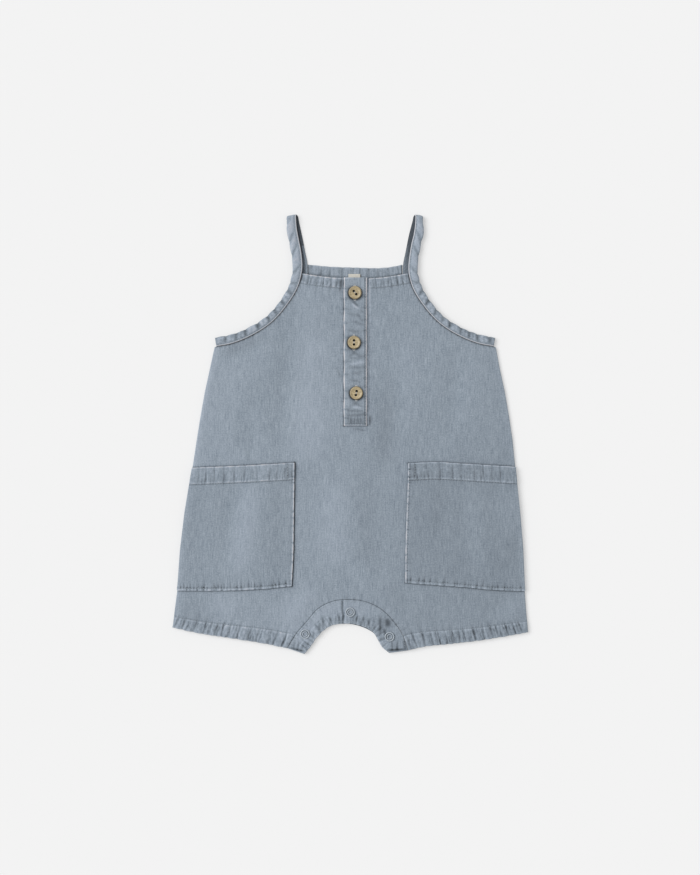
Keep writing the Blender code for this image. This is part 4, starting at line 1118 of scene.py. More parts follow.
def painted_light_falloff(spots):
    """Darker to the right, as painted light falloff away from the lamp on the left, and darker at the legs.
    """
    x, y = spots.T
    low = smooth_step((20.0 - y) / 90.0)
    return LIGHT_FALLOFF_ACROSS * x - low * (0.012 + 0.0006 * np.maximum(x, 0.0))


def side_light(spots):
    """The rounded side seams, painted a little paler: a highlight where they turn, and some abrasion."""
    x, y = spots.T
    edge = np.abs(x - body("lean", y)) - body("half_width", y)
    return 0.13 * bell(edge, 4.0) * (y < 84.0)


def front_surface(spots):
    """Height and tone of the front's upper side."""
    soft = folds(FRONT_FOLDS, spots)
    height = front_skin(spots) + crinkle(spots, 3.0)
    # The soft folds are also painted paler on their ridges and darker in their troughs, as light and shade.
    tone = painted_light_falloff(spots) + 0.15 * soft + folds(FRONT_SHADES, spots) + side_light(spots)
    for hem in front_hems + front_pulls:
        rise, wear_and_painted_light = hem.shape(spots)
        height += rise
        tone += wear_and_painted_light
    # Painted shadow beside everything that lies on the front.
    for line, depth in front_lines:
        tone += painted_shadow_line(line, spots, depth)
    # A wider, fainter painted shadow beside the left pocket's inner edge.
    tone += painted_shadow_line(pocket_lines[2][0], spots, 0.18, 1.7)
    x, y = spots.T
    near_top = smooth_step((y - 95.0) / 45.0)
    tone += 0.5 * near_top * bell(x - SLOT_RIGHT - 0.5, 0.6) * (y > SLOT_BOTTOM)
    return height, tone


def front_under(spots):
    """Height and tone of the front's inner side, which never shows."""
    return front_floor(spots), np.zeros(len(spots))


print("tone in the middle of the chest:", round(float(front_surface(chest)[1][0]), 2))

# %% Front cloth
SLOT_TOP, SLOT_POINTS = 146.5, 90
seam_left = crotch_seam + left_of(crotch_seam) * LAP / 2
front_outline = joined(
    left_leg.scalloped(0.5),
    seam_left[1:-1],
    right_leg.scalloped(0.5),
    side_line(1, LEG_RIGHT[-1][1], armhole_front[0][1] - 1.0),
    mirrored(armhole_front)[:-1],
    neck_right.scalloped(0.25),
    upright(SLOT_RIGHT, np.linspace(SLOT_TOP, SLOT_BOTTOM, SLOT_POINTS)),
    upright(SLOT_LEFT, np.linspace(SLOT_BOTTOM, SLOT_TOP, SLOT_POINTS)),
    neck_left.scalloped(0.25),
    armhole_front[::-1][1:],
    side_line(-1, armhole_front[0][1] - 1.0, LEG_LEFT[0][1]),
)
front_rows = [row for hem in front_hems for row in hem.rows()]
for line, depth in front_lines:
    front_rows += parallel(line, (-2.2, -1.6, -1.1, -0.6, -0.1, 0.4, 0.9, 1.4, 2.0))
front_rows += parallel(slot_line, (-1.0, -1.5, -2.1))
front_seams = [hem.line for hem in front_hems + front_pulls]
front_cloth = cloth("front_cloth", front_outline, front_surface, front_under, front_seams, ["front_panel"],
                    fine_reach=13.0, rim=0.6, rows=front_rows)

# %% [markdown]
# ## The back
#
# The back lies on the table with its outer face down, so it is flat below, and only its neck hem
# shows above the front. Its underside is finished too: the leg hems press on the table, and the
# single cloth above them is lifted by their thickness.

# %% Back cloth
HEM_LIFT = 0.3              # how far the hems hold the single cloth off the table
back_neck = Hem(BACK_NECK, (9.0, 9.0), BACK_NECK_CREASES, 0.38, rise=0.5, seed=21,
                nicks=every(3.4, 92.0, 22), edge=0.14, contrast=0.7, nicked=0.7)
under_legs = [
    Hem(LEG_LEFT, (10.5, 14.5), every(7.5, 108.0, 91), 0.28, rise=0.15, slant=-0.1, seed=92),
    Hem(LEG_RIGHT, (14.5, 10.5), every(7.5, 112.0, 93), 0.28, rise=0.15, slant=0.1, seed=94),
]
under_neck = Hem(BACK_NECK, (9.0, 9.0), every(8.0, 88.0, 95), 0.2, rise=0.12, seed=96)


def back_inner(spots):
    """The face that shows inside the neck."""
    rise, tone = back_neck.shape(spots)
    label_spot = np.exp(-((spots[:, 0] - 4.2) / 9.0) ** 4)
    # Painted shadow cast on the band by the front's neck edge and by the bindings.
    for hem in (neck_left, neck_right):
        tone += painted_shadow_line(hem.line, spots, 0.36, 1.3)
    for line in (armhole_back, mirrored(armhole_back)):
        tone += painted_shadow_line(line, spots, 0.80, 0.9)
    return BACK_WALL + rise * (1 - 0.35 * label_spot), tone + painted_light_falloff(spots) + 0.06


def lifted(hems, spots):
    """Height of a cloth above the table, where its hems are thicker than it is."""
    height, tone = np.zeros(len(spots)), np.zeros(len(spots))
    for hem in hems:
        rise, wear_and_painted_light = hem.shape(spots)
        gap = np.abs(line_coords(hem.line, spots)[1])
        lift = HEM_LIFT * np.exp(-np.maximum(gap - max(hem.depths), 0.0) / 8.0)
        height = np.maximum(height, np.clip(lift - rise, 0.0, 0.6))
        tone += wear_and_painted_light
    return height, tone


def back_under(spots):
    """The outer face, on the table."""
    height, tone = lifted(under_legs + [under_neck], spots)
    return height + 0.5 * np.abs(crinkle(spots, 11.0)), tone


back_outline = joined(
    smooth_line(LEG_LEFT, 1.5),
    seam_left[1:-1],
    smooth_line(LEG_RIGHT, 1.5),
    side_line(1, LEG_RIGHT[-1][1], armhole_front[0][1] - 1.0),
    mirrored(armhole_back)[:-1],
    back_neck.scalloped(0.3),
    armhole_back[::-1][1:],
    side_line(-1, armhole_front[0][1] - 1.0, LEG_LEFT[0][1]),
)
back_seams = [back_neck.line, under_legs[0].line, under_legs[1].line]
back_rows = back_neck.rows()
for line in (neck_left.line, neck_right.line):
    back_rows += parallel(line, (-0.1, -0.6, -1.1, -1.7))
for line in (armhole_back[-25:], mirrored(armhole_back)[-25:]):
    back_rows += parallel(line, (-1.9, -1.4, -0.9, 0.9, 1.4, 1.9))
back_cloth = cloth("back_cloth", back_outline, back_inner, back_under, back_seams, ["back_panel"],
                   finish=inner_cloth, slot="chambray_inside", plain=6.0, under=2.8, under_fine=1.6, rim=0.5,
                   rows=back_rows)

# %% [markdown]
# ## The crotch bands
#
# Two curved bands close the legs with snaps, the front one over the back one. They are cut in two
# layers and turned out, so they are thicker than the body. Their free edge is drawn up into many
# short ripples, and one deep fold runs across beside the middle snap.

# %% Crotch bands
DEEP_FOLD = ((-7.4, -158.5), (-7.2, -165), (-6.6, -172), (-7, -180.5))
SNAP_CENTRES = {"snap_left": (-42.8, -189.3), "snap_centre": (0.0, -168.5), "snap_right": (37.3, -191.8)}
band_edge = Hem(CROTCH_EDGE, (9.0, 9.0), CROTCH_CREASES, 0.55, rise=0.25, seed=31,
                nicks=(1.0, 7.5, 14.0, 21.0, 30.0, 36.0, 41.0, 47.5, 53.0, 58.5, 63.0, 68.5, 75.0, 81.0, 87.0,
                       93.0, 99.0), reach=2.5, edge=0.20, contrast=0.85, nicked=0.8)
band_pull = pull(crotch_seam[::8], crotch_pulls, 0.26, 3.0, 86)

# Painted shade in the band's creases, and one darker place: x, y, length, width, tone, turn in
# degrees.
BAND_SHADES = [
    (-29.1, -183, 13, 1.9, -0.34, 0),
    (-25.6, -179, 13, 1.4, -0.3, 2),
    (-19.1, -178, 8, 1.4, -0.3, -3),
    (-13.6, -177, 8, 1.1, -0.28, 2),
    (-10.4, -175.5, 9, 1.5, -0.34, 4),
    (2.9, -175.8, 9, 1.3, -0.3, -6),
    (6.2, -174.6, 6, 1.7, -0.42, -18),
    (9.4, -176.8, 7, 1.2, -0.26, 0),
    (12.8, -177, 9, 1.4, -0.3, 4),
    (18, -180.5, 11, 2, -0.32, 8),
    (22.4, -179, 10, 1.5, -0.24, -4),
    (28.4, -181, 17, 2.2, -0.38, 0),
    (35.6, -178.6, 8, 4.4, -0.42, 6),
    (33, -187.4, 7, 2, -0.34, 12),
    (39.8, -201, 8, 1.5, -0.3, 0),
    (44.6, -200.5, 9, 1.5, -0.34, -4),
    (51.6, -198.8, 10, 1.7, -0.46, 8),
    (43.5, -204.3, 18, 1.5, -0.55, 93),
    (-51.5, -203.8, 15, 1.3, -0.5, 76),
    (-53, -199, 8, 1.4, -0.3, -14),
    (-49.2, -200.5, 9, 1.4, -0.34, -12),
    (-45.4, -202, 9, 1.4, -0.3, -16),
    (-39.6, -198.5, 8, 1.4, -0.26, -20),
    (-35.4, -191.5, 9, 1.4, -0.28, -12),
    (34, -180, 28, 15, -0.08, 0),
]


def band_surface(spots):
    """Height and tone of the front band."""
    rise, tone = band_edge.shape(spots)
    pulled, pulled_tone = band_pull.shape(spots)
    fold = bell(line_coords(np.array(DEEP_FOLD), spots)[1], 0.9)
    height = front_floor(spots) + WALL + 0.2 + rise + pulled + crinkle(spots, 19.0) - 0.6 * fold
    # The deep fold and the creases are painted darker, as their shade; the band also darkens to the right.
    tone += pulled_tone + 0.08 - 0.0016 * spots[:, 0] - 0.66 * fold + 1.6 * folds(BAND_SHADES, spots)
    tone += painted_shadow_line(crotch_seam, spots, 0.10)
    for centre in SNAP_CENTRES.values():
        away = np.linalg.norm(spots - centre, axis=1)
        height += 0.35 * np.exp(-(away / 3.2) ** 4)
    return height, tone


def flat_inner(spots):
    """The inner face of the back band, under the front band."""
    # The face is painted dark as shade, since it lies under the front band.
    return np.full(len(spots), BACK_WALL), np.full(len(spots), -0.5)


def flat_under(spots):
    """The outer face of the back band, on the table."""
    return 0.5 * np.abs(crinkle(spots, 13.0)), np.zeros(len(spots))


print("crotch band:", len(CROTCH_CREASES), "creases,", len(BAND_SHADES), "shades")

# %% Band cloths
seam_right = (crotch_seam - left_of(crotch_seam) * LAP / 2)[::-1]
band_outline = joined(band_edge.scalloped(0.5), seam_right)
fold_rows = parallel(smooth_line(DEEP_FOLD, 1.0), (-1.6, -1.1, -0.55, 0.0, 0.55, 1.1, 1.6))
band_rows = band_edge.rows() + parallel(crotch_seam, (-2.2, -1.6, -1.1, 1.1, 1.6, 2.2)) + fold_rows
band_front = cloth("crotch_band_over", band_outline, band_surface, front_under,
                   [band_edge.line, crotch_seam], ["crotch_band_front"], rim=0.7, rows=band_rows)
band_back_outline = joined(smooth_line(BACK_CROTCH_EDGE, 1.5), seam_right)
band_back = cloth("crotch_band_under", band_back_outline, flat_inner, flat_under, [crotch_seam],
                  ["crotch_band_back"], finish=inner_cloth, slot="chambray_inside", plain=3.0, under=2.5,
                  rim=0.5)

# %% [markdown]
# ## The pockets
#
# Each patch pocket is caught in the side seam, turned under along its inner side and bottom, and
# hemmed deep at its mouth. It lies on the front, bulging a little, and its mouth stands just clear
# so that a thin shadow shows under it. Its wall is thin in the middle and doubled at the edges. A
# short column of stitches holds the inner end of the mouth, and the corner it closes off is darker.

# %% Pocket cloths
POCKET_PROUD, POCKET_HEM, POCKET_BULGE = 0.5, 16.0, 0.6
COLUMN_INSIDE, COLUMN_LENGTH = 6.6, 13.5    # the short column of stitches at the mouth
INNER_CREASES_LEFT = [5, 12, 23, 30.5, 41, 51, 57, 64.6, 71, 83, 89.6, 98, 103.6, 109.6]
INNER_CREASES_RIGHT = [5.5, 12.5, 18, 26.5, 32, 38, 45, 54, 62.9, 76.4, 86.9, 94.9, 102]


def pocket(name, mouth, bottom, inner, side, node, turn, patch, base):
    """A patch pocket from its three free edges; side is -1 on the left and +1 on the right.

    turn is how its weave is turned in degrees, patch where it was cut from, and base its tone.
    """
    mouth_edge, bottom_edge, inner_edge = (hem.scalloped(amount) for hem, amount in
                                           ((mouth, 0.3), (bottom, 0.3), (inner, 0.2)))
    seam_end, seam_start = (-1, 0) if side < 0 else (0, -1)
    outer = side_line(side, bottom_edge[seam_start][1], mouth_edge[seam_end][1])
    outer[:, 0] += side * POCKET_PROUD
    if side < 0:
        outline = joined(bottom_edge, inner_edge[1:-1], mouth_edge, outer[::-1][1:-1])
    else:
        outline = joined(bottom_edge, outer[1:-1], mouth_edge, inner_edge[1:-1])
    middle = (outline.max(axis=0) + outline.min(axis=0)) / 2
    half = (outline.max(axis=0) - outline.min(axis=0)) / 2
    column = inner.inward(COLUMN_INSIDE)
    column = column[column[:, 1] > mouth.line[:, 1].mean() - COLUMN_LENGTH][1:-1]

    def surface(spots):
        x = np.clip(np.abs(spots[:, 0] - middle[0]) / half[0], 0, 1)
        y = np.clip(np.abs(spots[:, 1] - middle[1]) / half[1], 0, 1)
        bulge = POCKET_BULGE * (1 - x**4) * (1 - y**4)
        height = front_skin(spots) + GAP + WALL + bulge + folds(POCKET_FOLDS, spots)
        height += crinkle(spots, patch)
        # Its folds are painted paler on their ridges and darker in their troughs, as light and shade; base,
        # lower on the right pocket, holds its painted light falloff away from the lamp.
        tone = base + 0.17 * folds(POCKET_FOLDS, spots) + side_light(spots)
        for hem in (mouth, bottom, inner):
            rise, wear_and_painted_light = hem.shape(spots)
            height += rise
            tone += wear_and_painted_light
        # Painted shade along the groove of the short column of stitches.
        tone += painted_shadow_line(column, spots, 0.50, 0.75)
        in_box = 1 - smooth_step((distances(spots, column) - 5.0) / 2.0)
        from_inner = np.abs(line_coords(inner.line, spots)[1])
        tone -= 0.09 * in_box * (from_inner < COLUMN_INSIDE)
        return height, tone

    def underside(spots):
        ground = front_surface(spots)[0] + 0.12
        from_mouth = np.abs(line_coords(mouth.line, spots)[1])
        thick = 0.8 + 0.5 * (1 - smooth_step((from_mouth - POCKET_HEM) / 2.0))
        return np.maximum(ground, surface(spots)[0] - thick), np.zeros(len(spots))

    def grain(spots):
        angle = math.radians(turn)
        turned = np.array([[math.cos(angle), -math.sin(angle)], [math.sin(angle), math.cos(angle)]])
        return spots @ turned + np.array([400.0 * patch, 0.0])

    rows = mouth.rows() + bottom.rows() + inner.rows() + parallel(column, (-1.0, -0.5, 0.0, 0.5, 1.0))
    made = cloth(name, outline, surface, underside, [mouth.line, bottom.line, inner.line], [node],
                 grain=grain, fine_reach=17.5, rim=0.6, under=5.0, rows=rows)
    return made, surface, column


# %% Both pockets
pocket_mouths = [
    Hem(POCKET_LEFT_TOP, (16.0, 16.0), MOUTH_LEFT_CREASES, 0.42, reach=4.0, seed=51, slant=0.1,
        nicks=every(2.6, 97.0, 55), edge=0.50, ridge=0.50, contrast=0.95, nicked=0.85,
        rooted=True),
    Hem(POCKET_RIGHT_TOP, (16.0, 16.0), MOUTH_RIGHT_CREASES, 0.42, reach=4.0, seed=61, slant=-0.1,
        nicks=every(2.6, 103.0, 65), edge=0.50, ridge=0.48, contrast=0.95, nicked=0.85,
        rooted=True),
]
pocket_bottoms = [
    Hem(POCKET_LEFT_BOTTOM, (2.2, 2.2), BOTTOM_LEFT_CREASES, 0.5, rise=0.2, reach=3.5, seed=52,
        nicks=every(2.3, 108.0, 54), edge=0.28, ridge=0.26, contrast=2.0, nicked=1.1,
        within=0.55, beyond=1.0),
    Hem(POCKET_RIGHT_BOTTOM, (2.2, 2.2), BOTTOM_RIGHT_CREASES, 0.5, rise=0.2, reach=3.5, seed=62,
        nicks=every(2.5, 113.0, 64), edge=0.30, ridge=0.22, contrast=1.5, nicked=0.85,
        within=0.55, beyond=1.0),
]
pocket_inners = [
    Hem(POCKET_LEFT_INNER, (1.6, 1.6), INNER_CREASES_LEFT, 0.35, rise=0.15, reach=2.2, seed=53,
        edge=0.62, ridge=0.10, contrast=0.6),
    Hem(POCKET_RIGHT_INNER, (1.6, 1.6), INNER_CREASES_RIGHT, 0.35, rise=0.15, reach=2.2, seed=63,
        edge=0.50, ridge=0.42),
]
left_pocket, left_pocket_surface, left_column = pocket(
    "pocket_cloth_left", pocket_mouths[0], pocket_bottoms[0], pocket_inners[0], -1, "pocket_left",
    -1.0, 2.0, -0.035)
right_pocket, right_pocket_surface, right_column = pocket(
    "pocket_cloth_right", pocket_mouths[1], pocket_bottoms[1], pocket_inners[1], 1, "pocket_right",
    1.2, 5.0, -0.165)

# %% [markdown]
# ## The placket
#
# The opening at the neck has two strips. The under strip fills the slot in the front and shows
# only as a sliver on the right. The over strip buttons down on it: four layers of cloth, topstitched
# close to both long edges, so it is padded between the rows of stitches and pinched at them.

# %% Placket strips
OVER_WALL, OVER_PAD, OVER_PUFF_REACH = 1.2, 0.4, 5.0
OVER_STITCH = 1.5           # from each long edge to its row of stitches
over_length = OVER_TOP - OVER_BOTTOM
over_left = puffs(OVER_LEFT_CREASES, over_length, 0.45, 41)
over_right = puffs(OVER_RIGHT_CREASES, over_length, 0.40, 42)
BUTTON_CENTRES = [(4.6, 134.0), (3.7, 86.9), (5.8, 39.0)]

# Wrinkles of the strip: x, y, length, width, height, turn in degrees.
OVER_WRINKLES = [
    (5.2, 123.6, 8, 1.6, -0.5, 50),
    (6, 120.4, 10, 1.6, 0.42, 50),
    (10, 117, 8, 1.8, -0.3, 60),
    (5, 113, 14, 2.4, -0.18, 80),
    (4, 97.5, 12, 2.2, -0.25, 75),
    (6.5, 76, 10, 2.2, -0.3, 60),
    (2, 75.5, 8, 2, -0.22, -55),
    (6, 63, 13, 2.4, -0.2, 85),
    (5, 50.5, 11, 2.2, -0.24, 78),
    (8, 28, 10, 2.2, -0.28, 58),
    (3, 27.5, 9, 2, -0.22, -50),
    (5, 22, 15, 1.6, -0.35, 88),
    (6.5, 25.5, 12, 1.6, 0.25, 86),
    (5, 18, 15, 1.6, -0.3, 91),
    (1, 13.2, 7, 1, -0.3, 4),
    (4, 12.8, 6, 1, -0.25, -6),
    (7.5, 13, 7, 1, -0.3, 2),
    (10.5, 13.4, 6, 1, -0.25, 8),
    (8.5, 105, 12, 1.8, -0.25, 70),
    (9, 111, 9, 1.4, -0.22, 30),
    (6, 72, 14, 1.6, -0.22, 90),
    (3, 66.5, 9, 1.4, 0.2, 88),
    (7, 57, 10, 1.5, -0.22, 82),
    (9.5, 59, 10, 1.8, -0.22, 98),
    (9, 68, 10, 1.8, 0.22, 96),
]
END_TICKS = [-1.6, 0.4, 2, 4.3, 6.2, 8.4, 10.1, 12.4]     # x of the ticks at the lower end
END_BOX = 13.0              # from the lower end to the second row of stitches across the strip
# Distance from the left edge, the right edge and the lower end: how dark the painted shade in the
# row of stitches and how pale the turned edge is there.
OVER_GROOVES = ((0.16, 0.80), (0.78, 1.05), (0.24, 0.66))
# The radii are of the painted shadow round a button and of the painted shade under it, which shows through
# its holes.
BUTTON_SHADE, BUTTON_HOLE_SHADE = 6.3, 4.2       # radii of the shadow round a button and of its print
print("over strip:", round(over_length, 1), "mm long,", len(OVER_WRINKLES), "wrinkles")

# %% Height and tone of the strips
def over_surface(spots):
    """Height and tone of the over strip."""
    x, y = spots.T
    down, up = OVER_TOP - y, y - OVER_BOTTOM
    from_left, from_right, from_end = (np.clip(gap, 0.0, None)
                                       for gap in (x - OVER_LEFT, OVER_RIGHT - x, up))
    height = front_skin(spots) + GAP + OVER_WALL + crinkle(spots, 23.0)
    height += OVER_PAD * smooth_step(np.minimum(from_left, from_right) / 2.5)
    height += folds(OVER_WRINKLES, spots)
    # The wrinkles are painted paler and darker too, as their light and shade.
    tone = painted_light_falloff(spots) - 0.01 + 1.1 * folds(OVER_WRINKLES, spots)
    # Puffs along both long edges: paler crests, by wear and painted highlight, and painted shade in their
    # creases.
    for (marks, heights), along, gap in ((over_left, down, from_left),
                                         (over_right, up, from_right)):
        wave = puff_height(marks, heights, along)
        fade = bell(gap, OVER_PUFF_REACH)
        valley = bell(nearest_crease(marks[1:-1], along)[0], 0.9)
        height += wave * fade
        tone += fade * (0.16 * (wave / 0.4 - 0.7) - 0.30 * valley)
    for gap, (groove, rim) in zip((from_left, from_right, from_end), OVER_GROOVES):
        height -= 0.32 * bell(gap - OVER_STITCH, 0.55) + 0.35 * bell(gap, 1.2)
        tone -= groove * bell(gap - OVER_STITCH - 0.1, 0.5)
        tone += rim * bell(gap - 0.4, 0.6)
    tone += 0.45 * bell(down - 0.4, 0.7) * smooth_step((4.0 - x) / 6.0)
    ticks = bell(nearest_crease(END_TICKS, x)[0], 0.6)
    end_box = 1 - smooth_step((from_end - 11.0) / 4.0)
    tone -= end_box * (0.13 + 0.30 * ticks * (1 - smooth_step((from_end - 6.0) / 2.0)))
    # Painted shadow round each button, darkest on its lower left, and painted shade under it, seen through
    # its holes.
    for centre in BUTTON_CENTRES:
        beside, above = (spots - centre).T
        away = np.hypot(beside, above)
        low_left = 0.55 - 0.3 * (beside + above) / np.maximum(away, 0.1)
        tone -= low_left * bell(away - BUTTON_SHADE, 1.2) + 1.6 * bell(away, BUTTON_HOLE_SHADE)
    return height, tone


def over_under(spots):
    """The over strip's inner side, just clear of the front."""
    return front_surface(spots)[0] + 0.1, np.zeros(len(spots))


def under_strip_surface(spots):
    """The under strip, of which a sliver shows beside the over strip."""
    gap = np.clip(SLOT_RIGHT - spots[:, 0], 0.0, None)
    # Painted shade in the dark gap beside the over strip; the sliver is also painted a little paler, against
    # the over strip's shadow.
    tone = painted_light_falloff(spots) + 0.12 - 0.46 * bell(gap - 1.7, 0.6)
    return front_skin(spots) - 0.1 - 0.2 * bell(gap, 0.8), tone


print("the over strip stands", round(float(over_surface(chest)[0][0]), 2), "mm high")

# %% Strip cloths
def strip_outline(left, right, low, high, step):
    """A rectangle, counter-clockwise, with points along all its sides."""
    x = np.linspace(left, right, round((right - left) / step) + 1)
    y = np.linspace(low, high, round((high - low) / step) + 1)
    return np.vstack([level(x, low)[:-1], upright(right, y)[:-1], level(x[::-1], high)[:-1],
                      upright(left, y[::-1])[:-1]])


OVER_MIDDLE = (OVER_LEFT + OVER_RIGHT) / 2
over_outline = strip_outline(OVER_LEFT, OVER_RIGHT, OVER_BOTTOM, OVER_TOP, 1.2)
# The long edges sway a little, the left one more, and not at the strip's ends.
edge_x, edge_y = over_outline[:, 0].copy(), over_outline[:, 1]
sway = np.where(edge_x < OVER_MIDDLE, 0.35, 0.12)
sway *= smooth_step((edge_y - OVER_BOTTOM) / 5.0) * smooth_step((OVER_TOP - edge_y) / 5.0)
over_outline[:, 0] += sway * np.sin(edge_y * 0.23 + np.sign(edge_x - OVER_MIDDLE))
over_seams = [upright(OVER_MIDDLE, np.arange(OVER_BOTTOM, OVER_TOP, 4.0))]
over_rows = parallel(over_left_line, (-1.1, -1.55, -2.0, -2.6))
over_rows += parallel(over_right_line, (1.1, 1.55, 2.0, 2.6))
over_rows += parallel(over_end_line, (1.1, 1.55, 2.0, 2.6))
turns = np.arange(0.0, 2 * math.pi, 0.12)
circle = np.column_stack([np.cos(turns), np.sin(turns)])
for centre in BUTTON_CENTRES:
    over_rows += [np.array(centre) + circle * radius for radius in (5.6, 6.1, 6.6, 7.1, 7.7)]
placket_over = cloth("placket_strip_over", over_outline, over_surface, over_under, over_seams,
                     ["placket_over"], grain=lambda spots: spots + np.array([900.0, 0.0]), rim=0.6,
                     fine_reach=14.0, rows=over_rows)

under_outline = strip_outline(SLOT_LEFT + LAP, SLOT_RIGHT - LAP, SLOT_BOTTOM + LAP, NECK_LEFT[0][1], 1.4)
placket_under = cloth("placket_strip_under", under_outline, under_strip_surface, front_under, over_seams,
                      ["placket_under"], grain=lambda spots: spots + np.array([1300.0, 0.0]), rim=0.4,
                      fine_reach=2.0)

# %% [markdown]
# ## The neck label
#
# A short piece of bare tape, sewn inside the back neck. Only its top edge shows above the front.

# %% Neck label
label_outline = strip_outline(-1.6, 9.7, 138.0, 152.1, 0.9)


def label_upper(spots):
    """The tape's face, bowed a little."""
    x, y = spots.T
    bow = 0.25 * np.cos((x - 4.2) / 6.0 * math.pi) + 0.1 * np.sin(y * 0.9)
    return 3.1 + 0.3 * bow, np.zeros(len(spots))


def label_lower(spots):
    """Its back, a tape's thickness lower."""
    height, tone = label_upper(spots)
    return height - 0.6, tone


neck_label = cloth("neck_tape", label_outline, label_upper, label_lower, [], ["neck_label"], finish=tape,
                   slot="cotton_tape", plain=1.2, under=1.6, rim=0.25)

# %% [markdown]
# ## Bindings and straps
#
# A bias strip is folded round each armhole and sewn through, and it runs on above the front as the
# strap, over the shoulder and down the back. It is one tube of cloth, flat below and softly
# rounded above, so it is swept: one cross-section is carried along the whole path, tilting round
# the shoulder fold. The free edge is scalloped by puffs, and the weave lies at 45 degrees. The
# right strap is pulled a little narrower than the left one and lies further out.

# %% Binding path
BINDING_WALL, BACK_BINDING_WALL, BINDING_RAISE = 1.6, 1.2, 0.2
STRAP_TURN, STRAP_BASE, FOLD_BASE, FOLD_REACH, FOLD_STEPS = 12.0, 3.0, 3.5, 16.0, 18
FOLD_SHIFT = 2.0            # the back of the strap comes out a little to the inner side
SCALLOP, PUFF = 0.8, 0.6


def binding_base(line):
    """Underside of the front binding and strap."""
    strap = np.interp(line[:, 1], [150.0, 180.0, 200.0, 205.0],
                      [STRAP_BASE + 0.8, STRAP_BASE, FOLD_BASE - 0.1, FOLD_BASE])
    share = smooth_step((line[:, 1] - 150.0) / 14.0)
    return (1 - share) * (front_floor(line) + BINDING_RAISE) + share * strap


def binding_path():
    """Rings of a binding: centre, cross direction, normal, width, thickness, run, front share."""
    front = smooth_line(BINDING_FRONT, 1.0)
    back = smooth_line(BINDING_BACK, 1.6)
    turn = math.radians(STRAP_TURN)
    fold_across = np.array([math.cos(turn), math.sin(turn)])
    fold_travel = np.array([-math.sin(turn), math.cos(turn)])
    front_run, back_run = run_of(front[:, :2]), run_of(back[:, :2])
    near_fold = smooth_step((front_run - front_run[-1]) / FOLD_REACH + 1.0)[:, None]
    front_across = -left_of(front) * (1 - near_fold) + fold_across * near_fold
    near_fold = (1 - smooth_step(back_run / FOLD_REACH))[:, None]
    back_across = left_of(back) * (1 - near_fold) + fold_across * near_fold

    base = binding_base(front[:, :2])
    rings = [((x, y, floor + BINDING_WALL / 2), (*across, 0.0), (0.0, 0.0, 1.0), width,
              BINDING_WALL, run, 1.0)
             for (x, y, width), across, floor, run in zip(front, front_across, base, front_run)]
    top = rings[-1][0][2]
    radius = (top - BACK_BINDING_WALL / 2) / 2
    for i in range(1, FOLD_STEPS):
        part = i / FOLD_STEPS
        angle = math.pi * part
        plan = (front[-1][:2] + fold_travel * radius * math.sin(angle) + fold_across * FOLD_SHIFT * part)
        rings.append(((*plan, top - radius * (1 - math.cos(angle))), (*fold_across, 0.0),
                      (*(fold_travel * math.sin(angle)), math.cos(angle)), front[-1][2],
                      BINDING_WALL + (BACK_BINDING_WALL - BINDING_WALL) * part,
                      front_run[-1] + radius * angle, 1.0 - part))
    folded_run = front_run[-1] + math.pi * radius
    rings += [((x, y, BACK_BINDING_WALL / 2), (*across, 0.0), (0.0, 0.0, -1.0), width,
               BACK_BINDING_WALL, folded_run + run, 0.0)
              for (x, y, width), across, run in zip(back, back_across, back_run)]
    return rings, front_run[-1]


BINDING_RINGS, FOLD_RUN = binding_path()
print("binding:", len(BINDING_RINGS), "rings, folded", round(FOLD_RUN, 1), "mm from the side seam")

# %% Binding section and shades
# Cross-section: share of the half width (-1 is the free edge, +1 the sewn edge), share of the
# thickness, how much it takes of the puffs' height and of their shading, and its own tone: pale
# wear at the sewn edge and painted shade in the groove of its stitches.
TAPE_SECTION = [
    (-0.82, -0.5, 0, 0, 0), (-0.95, -0.4, 0, 0, 0), (-1, -0.12, 0, 0.5, 0),
    (-0.97, 0.18, 0.25, 0.9, 0.02), (-0.87, 0.38, 0.55, 1, 0), (-0.68, 0.47, 0.85, 1, 0),
    (-0.42, 0.5, 1, 1, 0), (-0.15, 0.51, 1, 1, 0), (0.12, 0.5, 0.95, 0.9, 0), (0.34, 0.46, 0.75, 0.7, 0),
    (0.5, 0.38, 0.45, 0.45, -0.06), (0.6, 0.28, 0.2, 0.3, -0.24), (0.67, 0.24, 0.12, 0.2, -0.52),
    (0.75, 0.3, 0.12, 0.1, -0.1), (0.83, 0.34, 0.12, 0, 0.38), (0.91, 0.3, 0.08, 0, 0.6),
    (0.97, 0.16, 0.03, 0, 0.44), (1, -0.08, 0, 0, -0.1), (0.96, -0.38, 0, 0, -0.2), (0.84, -0.5, 0, 0, 0),
    (0.62, -0.5, 0, 0, 0), (0.52, -0.5, 0, 0, 0),
]
# Courses along a binding: places in millimetres, then the value at each.
CREASE_LEAN = ((92.0, 108.0), (0.35, -1.4))                 # on the run from the side seam
PUFF_SHADING = ((80.0, 96.0), (1.0, 0.50))
STRAP_PALE = ((60.0, 95.0, 125.0, 165.0), (0.05, 0.13, 0.19, 0.21))
# The underside of the strap past the fold is painted dark, as the shade under the strap.
INNER_FACE_SHADE = ((0.0, 4.0, 36.0, 50.0, 62.0), (0.0, -0.86, -0.82, -0.58, -0.40))  # past the fold
STRAP_NARROW = ((140.0, 160.0, 190.0, 203.0), (1.0, 0.93, 0.93, 0.80))          # on y, right strap
STRAP_OUT = ((150.0, 166.0, 173.0, 181.0, 188.0, 196.0, 204.0),
             (0.0, 0.6, 0.8, 0.6, 1.1, 0.7, 0.35))
STRAP_OUT_BACK = ((150.0, 166.0, 204.0), (0.0, 0.3, 0.35))


